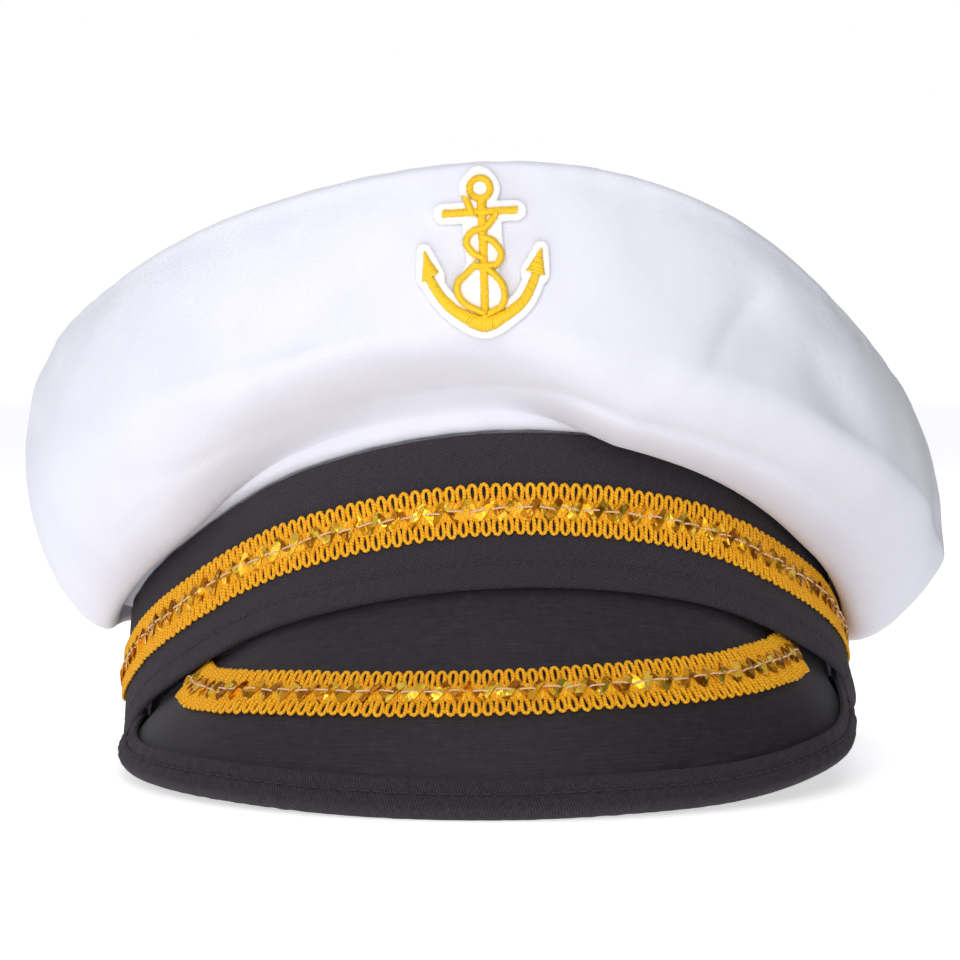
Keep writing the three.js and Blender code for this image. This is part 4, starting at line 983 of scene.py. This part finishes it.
# %% Binding
BINDING_STITCH, BINDING_ALONG_MM = -3.1, 150
near = PEAK_THICKNESS / 2 + 1.6 * GAP
far = near + BINDING_WALL
fold_turn = np.linspace(np.pi / 2, -np.pi / 2, 11)
leaf = np.linspace(-BINDING_WIDTH, 0, 14)
lip = np.linspace(-np.pi / 2, np.pi / 2, 5)[1:-1]
end_out = -BINDING_WIDTH - BINDING_WALL / 2 * np.cos(lip)
end_up = BINDING_WALL / 2 * np.sin(lip) + (near + far) / 2
outs = np.concatenate([leaf, (GAP + BINDING_WALL) * np.cos(fold_turn)[1:-1], leaf[::-1], end_out,
                       leaf, GAP * np.cos(fold_turn[::-1])[1:-1], leaf[::-1], end_out])
ups = np.concatenate([leaf * 0 + far, far * np.sin(fold_turn)[1:-1], leaf * 0 - far, -end_up[::-1],
                      leaf * 0 - near, near * np.sin(fold_turn[::-1])[1:-1], leaf * 0 + near, end_up])
outer_count = 2 * len(leaf) + len(fold_turn) - 2
outer_face = (np.arange(len(outs)) < outer_count).astype(float)
print("points in the binding's section:", len(outs))


def binding_place(along, out, up):
    """The same rule as for the solid: in along the peak's surface, or straight out past its edge."""
    edge = peak_point(along, 1)
    width = np.linalg.norm(edge - peak_point(along, 0), axis=-1)
    run = unit(peak_point(along + 0.01, 1) - peak_point(along - 0.01, 1))
    outward = unit(np.cross(run, peak_normal(along, 1)))
    across = np.clip(1 + out / width, 0.25, 1)
    return peak_skin(along, across, up) + outward * np.maximum(out, 0)[..., None]


along_grid, out_grid = np.broadcast_arrays(spaced(421), outs[:, None])
drawn_in = 0.3 * np.exp(-((out_grid - BINDING_STITCH) / 0.7)**2)
swell = 0.16 * ripple(along_grid * 180, out_grid / 7, 30, 80, 1, 12) - drawn_in
up_grid = ups[:, None] + np.sign(ups)[:, None] * outer_face[:, None] * swell * (np.abs(ups)[:, None] > near)
rows = binding_place(along_grid, out_grid, up_grid)
step = np.hypot(np.diff(outs), np.diff(ups))
up_mm = np.append(np.concatenate([[0], np.cumsum(step)]), step.sum() + 1)
leaf_ends = np.array([[len(outs) // 2 - 1], [len(outs) - 1]])
binding_ends = [zip_up(len(lip), len(outs) - 1, outer_count - 1), (leaf_ends + [0, 1, 2, 3]) % len(outs),
                (leaf_ends + [0, 3, 4]) % len(outs)]
binding_uv = mm_uv(np.append(spaced(421), 1) * BINDING_ALONG_MM, up_mm)
binding_mesh = sheet_mesh("peak_binding", rows[::-1], binding_uv, False, binding_ends)
peak_binding = piece("peak_binding", binding_mesh, binding, "black_binding", "visor_binding")
print("binding faces:", len(binding_mesh.polygons))

# %% Stitches along the binding
def binding_top(along, back):
    """The binding's upper leaf: back is measured from the peak's edge towards the hem."""
    return binding_place(along, -back, far + 0 * back)


line = np.linspace(-0.93, 0.93, 900)
path, normal = stitches(binding_top, line, np.full_like(line, -BINDING_STITCH), (0.004, 0.3))
edge_mesh = tubes_mesh("edge_stitches", path - normal * 0.15, normal, round_ring(THREAD, THREAD, 6))
edge_stitches = piece("edge_stitches", edge_mesh, black_thread, "black_binding")
print("stitches along the edge:", len(path))

# %% [markdown]
# ## Gold braid
#
# The braid is knitted from two rows of yarn loops, one to each side. Every loop is a long O, 2.7 mm from the
# next, with a second yarn showing low between the loops. A ribbon of gold film zigzags down the middle, and a
# pale thread is stitched over it. The same function lays the braid on the band and on the peak.

# %% Yarn of the braid
LOOP, YARN = 2.66, 0.98
LOW_YARN_IN, LOW_YARN_WAVE, LOW_YARN_HEIGHT, LOW_STEPS = 1.5, 3.4, 0.42, 12
LOOP_ALONG = np.array([-1.3, -0.6, -0.78, -0.8, -0.72, -0.46, 0, 0.46, 0.72, 0.8, 0.78, 0.6])
LOOP_ASIDE = np.array([1.2, 2.1, 3.2, 4.5, 5.2, 5.75, 5.95, 5.75, 5.2, 4.5, 3.2, 2.1])
LOOP_HEIGHT = np.array([0.35, 0.62, 0.72, 0.75, 0.74, 0.7, 0.68, 0.7, 0.74, 0.75, 0.72, 0.62])


def braid_yarn(name, surface, line_u, line_v, steps, closed, seed):
    """Both rows of loops and the yarns between them: one long wavy path for each, carried as round tubes."""
    rng = np.random.default_rng(seed)
    total = line_length(surface, line_u, line_v)[-1]
    count = int(total / LOOP)
    pitch = total / count
    start = (np.arange(count) + 0.5)[:, None] * pitch
    paths, normals = [], []
    for side in (1, -1):
        s = (start + LOOP_ALONG * pitch / LOOP + rng.normal(0, 0.07, (count, 1)))
        t = side * (LOOP_ASIDE + rng.normal(0, 0.09, (count, 1)) * (LOOP_ASIDE > 2.5))
        h = LOOP_HEIGHT + rng.normal(0, 0.03, (count, 1))
        s, t, h = (x.reshape(1, -1) for x in (s, t, h))
        point, normal = lay(surface, line_u, line_v, s, t, h, steps)
        paths.append(point)
        normals.append(normal)
        s = np.arange(count * LOW_STEPS)[None] * pitch / LOW_STEPS
        wave_up = 0.5 - 0.5 * np.cos(2 * np.pi * (s / pitch))
        t = side * (LOW_YARN_IN + LOW_YARN_WAVE * (1 - wave_up))
        point, normal = lay(surface, line_u, line_v, s, t, LOW_YARN_HEIGHT + 0 * s, steps)
        paths.append(point)
        normals.append(normal)
    ring = round_ring(YARN, YARN * 0.9, 5)
    mesh = tubes_mesh(name, np.concatenate(paths), np.concatenate(normals), ring, closed)
    return piece(name, mesh, yarn, "gold_braid")


# %% Film and thread of the braid
FILM_SWING, FILM_HEIGHT, FILM_ARCH, FILM_CROSSING = 1.9, 1.15, 0.22, 0.12
FILM = np.array([[0.95, 0.05], [0, 0.1], [-0.95, 0.05], [-0.95, -0.05], [0, -0.02], [0.95, -0.05]])


def braid_film(name, surface, line_u, line_v, steps, seed):
    """A flat ribbon in a zigzag of 1.9 mm to each side: each leg is tilted its own way, so it glitters."""
    rng = np.random.default_rng(seed)
    total = line_length(surface, line_u, line_v)[-1]
    count = int(total / LOOP)
    legs = np.arange(count)[:, None]
    x = np.linspace(-0.12, 1.12, 5)
    swing = np.where(legs % 2, 1, -1)
    s = (legs + x) * total / count
    t = swing * FILM_SWING * (2 * x - 1) + rng.normal(0, 0.12, (count, 1))
    h = FILM_HEIGHT + FILM_ARCH * np.sin(np.pi * x) + FILM_CROSSING * swing + rng.normal(0, 0.05, (count, 1))
    point, normal = lay(surface, line_u, line_v, s, t, h, steps)
    tilt = rng.normal(0, 0.42, (count, 1)) + rng.normal(0, 0.16, (count, 5))
    run = unit(np.gradient(point, axis=1))
    side = unit(np.cross(normal, run))
    normal = normal * np.cos(tilt)[..., None] + side * np.sin(tilt)[..., None]
    mesh = tubes_mesh(name, point, normal, FILM)
    mesh.shade_flat()
    return piece(name, mesh, film_gold, "gold_braid")


def braid_core(name, surface, line_u, line_v, steps, closed):
    """The knitted middle under the film, a low flat rib."""
    total = line_length(surface, line_u, line_v)[-1]
    s = np.linspace(0, total, 4 * int(total / LOOP), endpoint=not closed)[None]
    t = 0.25 * np.sin(2 * np.pi * s / LOOP)
    point, normal = lay(surface, line_u, line_v, s, t, 0.5 + 0 * s, steps)
    return piece(name, tubes_mesh(name, point, normal, round_ring(4.6, 0.9, 8), closed), yarn, "gold_braid")


def braid_thread(name, surface, line_u, line_v, steps, seed):
    """Pale stitches over the film, two loops long, wandering a little to both sides."""
    rng = np.random.default_rng(seed)
    total = line_length(surface, line_u, line_v)[-1]
    count = int(total / (2 * LOOP))
    x = np.linspace(0, 1, 7)
    s = (np.arange(count)[:, None] + 0.06 + 0.8 * x + rng.normal(0, 0.03, (count, 1))) * total / count
    t = rng.normal(0, 0.25, (count, 1)) * (1 - x) + rng.normal(0, 0.25, (count, 1)) * x
    h = 1.78 - 0.75 * (2 * x - 1)**6 + 0 * s
    point, normal = lay(surface, line_u, line_v, s, t, h, steps)
    return piece(name, tubes_mesh(name, point, normal, round_ring(0.5, 0.45, 5)), pale_thread, "gold_braid")


# %% Braid on the band
BAND_LINE = np.linspace(-180, 180, 1441)
on_band = (band_face, BAND_LINE, np.full_like(BAND_LINE, BRAID_RISE + BRAID_WIDTH / 2), (0.2, 0.2))
band_yarn = braid_yarn("band_braid_yarn", *on_band, True, 21)
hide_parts("band_braid")
band_core = braid_core("band_braid_core", *on_band, True)
band_film = braid_film("band_braid_film", *on_band, 22)
band_thread = braid_thread("band_braid_thread", *on_band, 23)
print("braid on the band, faces:", len(band_yarn.data.polygons), len(band_film.data.polygons))

# %% Braid on the peak
def peak_face(along, back):
    """The peak's upper face: back runs from 0 at its edge to 1 at the hem."""
    return peak_skin(along, 1 - back, thick(along) + 0 * back)


PEAK_LINE = np.linspace(PEAK_BRAID[0, 0], PEAK_BRAID[-1, 0], 800)
on_peak = (peak_face, PEAK_LINE, 1 - along_table(PEAK_BRAID, 1, PEAK_LINE), (0.004, 0.01))
peak_yarn = braid_yarn("peak_braid_yarn", *on_peak, False, 31)
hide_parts("visor_braid")
peak_core = braid_core("peak_braid_core", *on_peak, False)
peak_film = braid_film("peak_braid_film", *on_peak, 32)
peak_thread = braid_thread("peak_braid_thread", *on_peak, 33)
print("braid on the peak, faces:", len(peak_yarn.data.polygons), len(peak_film.data.polygons))

# %% [markdown]
# ## The badge: felt
#
# The anchor is embroidered on white felt that is cut out with a narrow margin. Its outline is every place
# that lies within that margin of a stroke, so the distance to the nearest stroke is worked out on a fine
# grid, the cells inside are kept, and the outermost points are moved onto the outline.

# %% The anchor's lines
# In shares of the badge's height from its middle: x and z of each point, then the stroke's width there.
RING_X, RING_Z, RING_RADIUS, RING_WIDTH = -0.015, 0.388, 0.064, 0.042
STOCK = [(-0.239, 0.231, 0.046), (0.212, 0.256, 0.046)]
SHANK = [(-0.006, 0.325, 0.06), (0.008, 0, 0.052), (0.02, -0.45, 0.05)]
ARMS = [(-0.336, -0.15, 0.056), (-0.253, -0.285, 0.064), (-0.145, -0.382, 0.076), (0.016, -0.443, 0.09),
        (0.152, -0.392, 0.076), (0.265, -0.295, 0.064), (0.34, -0.13, 0.05)]
ROPES = [[(0.088, 0.235), (0.022, 0.151), (-0.06, 0.121), (-0.097, 0.062), (-0.06, -0.006), (0.008, -0.043)],
         [(0, 0.091), (0.067, 0.062), (0.119, -0.013), (0.089, -0.08), (0.022, -0.087), (-0.038, -0.092)],
         [(-0.04, -0.08), (-0.104, -0.146), (-0.15, -0.198), (-0.148, -0.265), (-0.104, -0.325),
          (0.01, -0.385)],
         [(0.03, -0.1), (0.119, -0.191), (0.141, -0.272), (0.119, -0.34), (0.04, -0.385)],
         [(-0.1, 0.328), (-0.06, 0.225)]]
ROPE_WIDTH = 0.042
FLUKES = [[(-0.357, 0), (-0.372, -0.19), (-0.267, -0.128)], [(0.367, 0.02), (0.27, -0.115), (0.39, -0.147)]]
FIELD = [(0, 0.2, 0.24), (0.005, 0.08, 0.25), (0.015, -0.02, 0.24), (0, -0.1, 0.19), (-0.01, -0.19, 0.27),
         (-0.005, -0.29, 0.3), (0.01, -0.38, 0.2)]


def smooth_line(points, count):
    """A smooth line through a few points, as evenly spaced rows of x, z and width."""
    points = np.array([(*p, ROPE_WIDTH)[:3] for p in points], float)
    chord = np.concatenate([[0], np.cumsum(np.hypot(*np.diff(points[:, :2], axis=0).T))])
    table = np.column_stack([chord, points])
    dense = np.stack([along_table(table, k, np.linspace(0, chord[-1], 200)) for k in (1, 2, 3)], -1)
    run = np.concatenate([[0], np.cumsum(np.hypot(*np.diff(dense[:, :2], axis=0).T))])
    even = np.linspace(0, run[-1], count)
    return np.stack([np.interp(even, run, dense[:, k]) for k in range(3)], -1), run[-1]


def crown_front_place(x, height):
    """Azimuth and level of the crown's front at a sideways place and a height, by halving and correcting."""
    reach = HEAD_WIDTH / 2 + OVERHANG / 2
    azimuth = np.degrees(np.arcsin(x / reach))
    for _ in range(3):
        below, above = np.full_like(x, LEVEL_STRIP), np.ones_like(x)
        for _ in range(18):
            level = (below + above) / 2
            under = crown_profile(azimuth, level)[1] < height
            below, above = np.where(under, level, below), np.where(under, above, level)
        azimuth = azimuth + np.degrees((x - crown_face(azimuth, level)[..., 0]) / reach)
    return azimuth, level


def badge_point(x, z, out):
    """A place on the badge: shares of its height sideways and up, and mm out from the crown's face."""
    x, z, out = np.broadcast_arrays(np.asarray(x, float), z, out)
    azimuth, level = crown_front_place(BADGE_X + x * BADGE_HEIGHT, BADGE_MIDDLE + z * BADGE_HEIGHT)
    return crown_face(azimuth, level) + outwards(crown_face, azimuth, level, BADGE_STEPS) * out[..., None]


BADGE_MIDDLE, BADGE_STEPS = crown_profile(0, 1)[1] - BADGE_DROP, (1.0, 0.02)
BADGE_OUT = outwards(crown_face, *crown_front_place(np.array([BADGE_X]), BADGE_MIDDLE), BADGE_STEPS)[0]
print("the badge faces", BADGE_OUT.round(2))

# %% Felt
def stroke_distance(x, z, points):
    """Distance from a stroke of changing width: the least over its dense places, less half the width."""
    line, _ = smooth_line(points, 60)
    gap = np.hypot(x[..., None] - line[:, 0], z[..., None] - line[:, 1]) - line[:, 2] / 2
    return gap.min(-1)


def anchor_distance(x, z):
    near_ring = np.hypot(x - RING_X, z - RING_Z) - RING_RADIUS - RING_WIDTH / 2
    flukes = [stroke_distance(x, z, [(*tip, 0.01), (*np.mean([a, b], 0), 0.8 * np.hypot(*np.subtract(a, b)))])
              for tip, a, b in FLUKES]
    return np.min([near_ring, *flukes, *(stroke_distance(x, z, s) for s in (STOCK, SHANK, ARMS)),
                   stroke_distance(x, z, FIELD) + FELT_MARGIN / BADGE_HEIGHT], axis=0)


CELL = 0.3 / BADGE_HEIGHT
x, z = np.meshgrid(np.arange(-0.46, 0.47, CELL), np.arange(-0.56, 0.56, CELL))
margin = FELT_MARGIN / BADGE_HEIGHT
distance = anchor_distance(x, z)
for _ in range(3):
    slope_z, slope_x = np.gradient(anchor_distance(x, z), CELL)
    over = np.where(distance > margin - 0.5 * CELL, anchor_distance(x, z) - margin, 0)
    steep = np.maximum(np.hypot(slope_x, slope_z), 0.3)
    near_line = distance < margin + 0.9 * CELL
    x = x - np.where(near_line, over * slope_x / steep**2, 0)
    z = z - np.where(near_line, over * slope_z / steep**2, 0)
inside = distance < margin + 0.5 * CELL
i, j = np.nonzero(inside[:-1, :-1] & inside[1:, :-1] & inside[:-1, 1:] & inside[1:, 1:])
wide = x.shape[1]
cells = np.stack([i * wide + j, i * wide + j + 1, (i + 1) * wide + j + 1, (i + 1) * wide + j], -1)
used, cells = np.unique(cells, return_inverse=True)
cells = cells.reshape(-1, 4)
flat_x, flat_z = x.ravel()[used], z.ravel()[used]
from_cut = np.clip((margin - anchor_distance(flat_x, flat_z)) * BADGE_HEIGHT, 0, 2)
felt_top = badge_point(flat_x, flat_z, GAP + FELT - 0.35 * np.exp(-from_cut / 0.35))
felt_uv = np.stack([flat_x, flat_z], -1) * BADGE_HEIGHT
felt_mesh = fill_mesh("badge_felt", felt_top, [cells], [felt_uv[cells]])
badge_felt = piece("badge_felt", felt_mesh, felt, "white_felt", "badge_backing")
wall = badge_felt.modifiers.new("felt thickness", "SOLIDIFY")
wall.thickness, wall.offset = FELT / 1000, -1
print("felt faces:", len(felt_mesh.polygons))

# %% [markdown]
# ## The badge: embroidery
#
# Satin stitch lays threads side by side across a stroke, over an underlay that makes it a low ridge. Each
# thread is a short tube that arches from one side to the other, 0.3 mm from the next, a little aslant. The
# rope is sewn last, with steeper threads, so it lies on top of the shank.

# %% Satin stitch
THREAD_PITCH, THREAD_WIDE, THREAD_HIGH = 0.3, 0.4, 0.36
LOW, HIGH = FELT + 1.5 * GAP, FELT + 1.5 * GAP + STITCH_RELIEF


def satin_threads(left, right, lift, rng):
    """Threads from left[k] to right[k], as (x, z) shares: arches whose height falls off to both ends."""
    count = len(left)
    q = np.linspace(-1, 1, 6)
    left = left + rng.normal(0, 0.0013, left.shape)
    right = right + rng.normal(0, 0.0013, right.shape)
    place = left[:, None] + (right - left)[:, None] * ((q + 1) / 2)[:, None]
    high = HIGH + lift - 0.25 + rng.normal(0, 0.03, (count, 1))
    out = lerp(LOW - 0.35, high, (1 - np.abs(q)**3.2))
    return badge_point(place[..., 0], place[..., 1], out)


def stroke_sides(points, slant):
    """Left and right ends of the threads across a stroke, one pair for each thread pitch."""
    _, run = smooth_line(points, 2)
    line, _ = smooth_line(points, max(3, int(run * BADGE_HEIGHT / THREAD_PITCH)))
    way = unit(np.gradient(line[:, :2], axis=0))
    aside = np.stack([-way[:, 1], way[:, 0]], -1) + slant * way
    half = line[:, 2:] / 2
    return line[:, :2] + aside * half, line[:, :2] - aside * half


rng = np.random.default_rng(41)
turn = np.linspace(0, 2 * np.pi, int(2 * np.pi * RING_RADIUS * BADGE_HEIGHT / THREAD_PITCH), endpoint=False)
spoke = np.stack([np.cos(turn), np.sin(turn)], -1)
ring_middle = np.array([RING_X, RING_Z])
ring_sides = [ring_middle + spoke * (RING_RADIUS + side * RING_WIDTH / 2) for side in (-1, 1)]
threads = [satin_threads(*ring_sides, 0, rng)]
STROKES = [(ARMS, 0.3, 0), (SHANK, 0.3, 0), (STOCK, 0.2, 0.1)] + [(rope, 0.9, 0.45) for rope in ROPES]
for points, slant, lift in STROKES:
    threads.append(satin_threads(*stroke_sides(points, slant), lift, rng))
for tip, a, b in FLUKES:
    t = np.linspace(0.06, 1, int(0.16 * BADGE_HEIGHT / THREAD_PITCH))[:, None]
    tip, a, b = np.array(tip), np.array(a), np.array(b)
    threads.append(satin_threads(lerp(tip, a, t), lerp(tip, b, t), 0.1, rng))
path = np.concatenate(threads)
thread_ring = round_ring(THREAD_WIDE, THREAD_HIGH, 5)
anchor_mesh = tubes_mesh("anchor_embroidery", path, np.broadcast_to(BADGE_OUT, path.shape), thread_ring)
anchor = piece("anchor_embroidery", anchor_mesh, rayon, "yellow_thread", "badge_anchor")
print("threads in the anchor:", len(path))

# %% Underlay
def underlay(points, lift):
    """A filled ridge under the threads of a stroke, so that no felt shows between them."""
    line, _ = smooth_line(points, 24)
    path = badge_point(line[:, 0], line[:, 1], LOW - 0.4 + lift / 2)[None]
    a = 2 * np.pi * np.arange(8) / 8
    width = line[:, 2:] * BADGE_HEIGHT / 2 * 0.86
    ring = np.stack([width * np.cos(a), (0.55 + lift / 2) * np.sin(a) + 0 * width], -1)[None]
    return path, ring


under = [underlay(points, lift) for points, _, lift in STROKES]
path, ring = np.concatenate([u[0] for u in under]), np.concatenate([u[1] for u in under])
underlay_mesh = tubes_mesh("anchor_underlay", path, np.broadcast_to(BADGE_OUT, path.shape), ring)
anchor_underlay = piece("anchor_underlay", underlay_mesh, rayon, "yellow_thread")
print("underlay faces:", len(underlay_mesh.polygons))

# %% [markdown]
# ## What the cloth was cut from
#
# This script declares no sheets and gives no sizes for them.

# %% Cloth sheets, none declared here
print("no sheets are declared")

# %% [markdown]
# ## Floor, light and camera
#
# The cap stands on a plain white floor that glows a little, as a lit studio floor does. A large lamp stands
# in front, a skylight above and behind, and the surroundings are white. A black card on the right takes light
# off the slouched side, and no camera sees it. The camera looks down by about 2 degrees from 0.85 m, as in
# the photograph.

# %% Floor and card
def plain(name, colour, **sockets):
    """A matt material of one colour; sockets are the shader's plain values."""
    material = bpy.data.materials.new(name)
    material.use_nodes = True
    shader = material.node_tree.nodes["Principled BSDF"]
    for key, value in {"Base_Color": linear(colour), "Roughness": 0.9, **sockets}.items():
        shader.inputs[key.replace("_", " ")].default_value = value
    return material


def studio_sheet(name, corners, material):
    """A plain rectangle of the studio, which is no part of the hat."""
    mesh = bpy.data.meshes.new(name)
    mesh.from_pydata(corners, [], [(0, 1, 2, 3)])
    mesh.materials.append(material)
    obj = bpy.data.objects.new(name, mesh)
    bpy.context.scene.collection.objects.link(obj)
    return obj


HALF_FLOOR, CARD_X, CARD_HALF, CARD_HEIGHT = 6.0, 0.3, 0.35, 0.4
paper = plain("white_studio_paper", "FAFAFA", Emission_Color=linear("FFFFFF"), Emission_Strength=0.58)
floor_corners = [(x * HALF_FLOOR, y * HALF_FLOOR, 0) for x, y in [(-1, -1), (1, -1), (1, 1), (-1, 1)]]
studio_sheet("floor", floor_corners, paper)
card_corners = [(CARD_X, y * CARD_HALF, z * CARD_HEIGHT) for y, z in [(-1, 0), (-1, 1), (1, 1), (1, 0)]]
flag = studio_sheet("flag", card_corners, plain("black_card", "101010"))
flag.visible_camera = False
print("floor and card stand")

# %% Light
def lamp(name, place, target, size, watts, colour):
    """A square area lamp in metres that faces its target."""
    data = bpy.data.lights.new(name, "AREA")
    data.size, data.energy, data.color = size, watts, linear(colour)[:3]
    obj = bpy.data.objects.new(name, data)
    bpy.context.scene.collection.objects.link(obj)
    way = np.array(target) - np.array(place)
    obj.location = place
    obj.rotation_euler = (np.arccos(-way[2] / np.linalg.norm(way)), 0, np.arctan2(way[1], way[0]) - np.pi / 2)
    return obj


MIDDLE = (0.0, 0.0, 0.08)
lamp("window_front", (-0.15, -1.35, 0.75), MIDDLE, 0.9, 8.4, "FFFEFC")
lamp("skylight", (0.1, 0.75, 1.2), MIDDLE, 1.0, 6.5, "FAFBFF")
world = bpy.data.worlds.new("white_studio")
world.use_nodes = True
tree = world.node_tree
tree.nodes.clear()
seen = add(tree, "ShaderNodeBackground", {"Color": (1, 1, 1, 1), "Strength": 1.0})
cast = add(tree, "ShaderNodeBackground", {"Color": linear("F6F7FF"), "Strength": 0.43})
rays = add(tree, "ShaderNodeLightPath")
both = add(tree, "ShaderNodeMixShader", {0: rays.outputs["Is Camera Ray"], 1: cast, 2: seen})
add(tree, "ShaderNodeOutputWorld", {0: both})
bpy.context.scene.world = world
bpy.context.scene.view_settings.view_transform = "Standard"

# %% Camera
CAMERA_BACK, CAMERA_UP, LOOKS_DOWN = 0.850, 0.10337, 2.2
PICTURE, FOCAL_PIXELS, HAT_MIDDLE_PIXEL = 960, 3230, 490
camera_data = bpy.data.cameras.new("camera")
camera_data.sensor_width = 36
camera_data.lens = 36 * FOCAL_PIXELS / PICTURE
camera_data.shift_x = (PICTURE / 2 - HAT_MIDDLE_PIXEL) / PICTURE
camera = bpy.data.objects.new("camera", camera_data)
bpy.context.scene.collection.objects.link(camera)
camera.location = (HEAD_AXIS[0] / 1000, HEAD_AXIS[1] / 1000 - CAMERA_BACK, CAMERA_UP)
camera.rotation_euler = (rad(90 - LOOKS_DOWN), 0, 0)
bpy.context.scene.camera = camera
print("lens, mm:", round(camera_data.lens, 1))
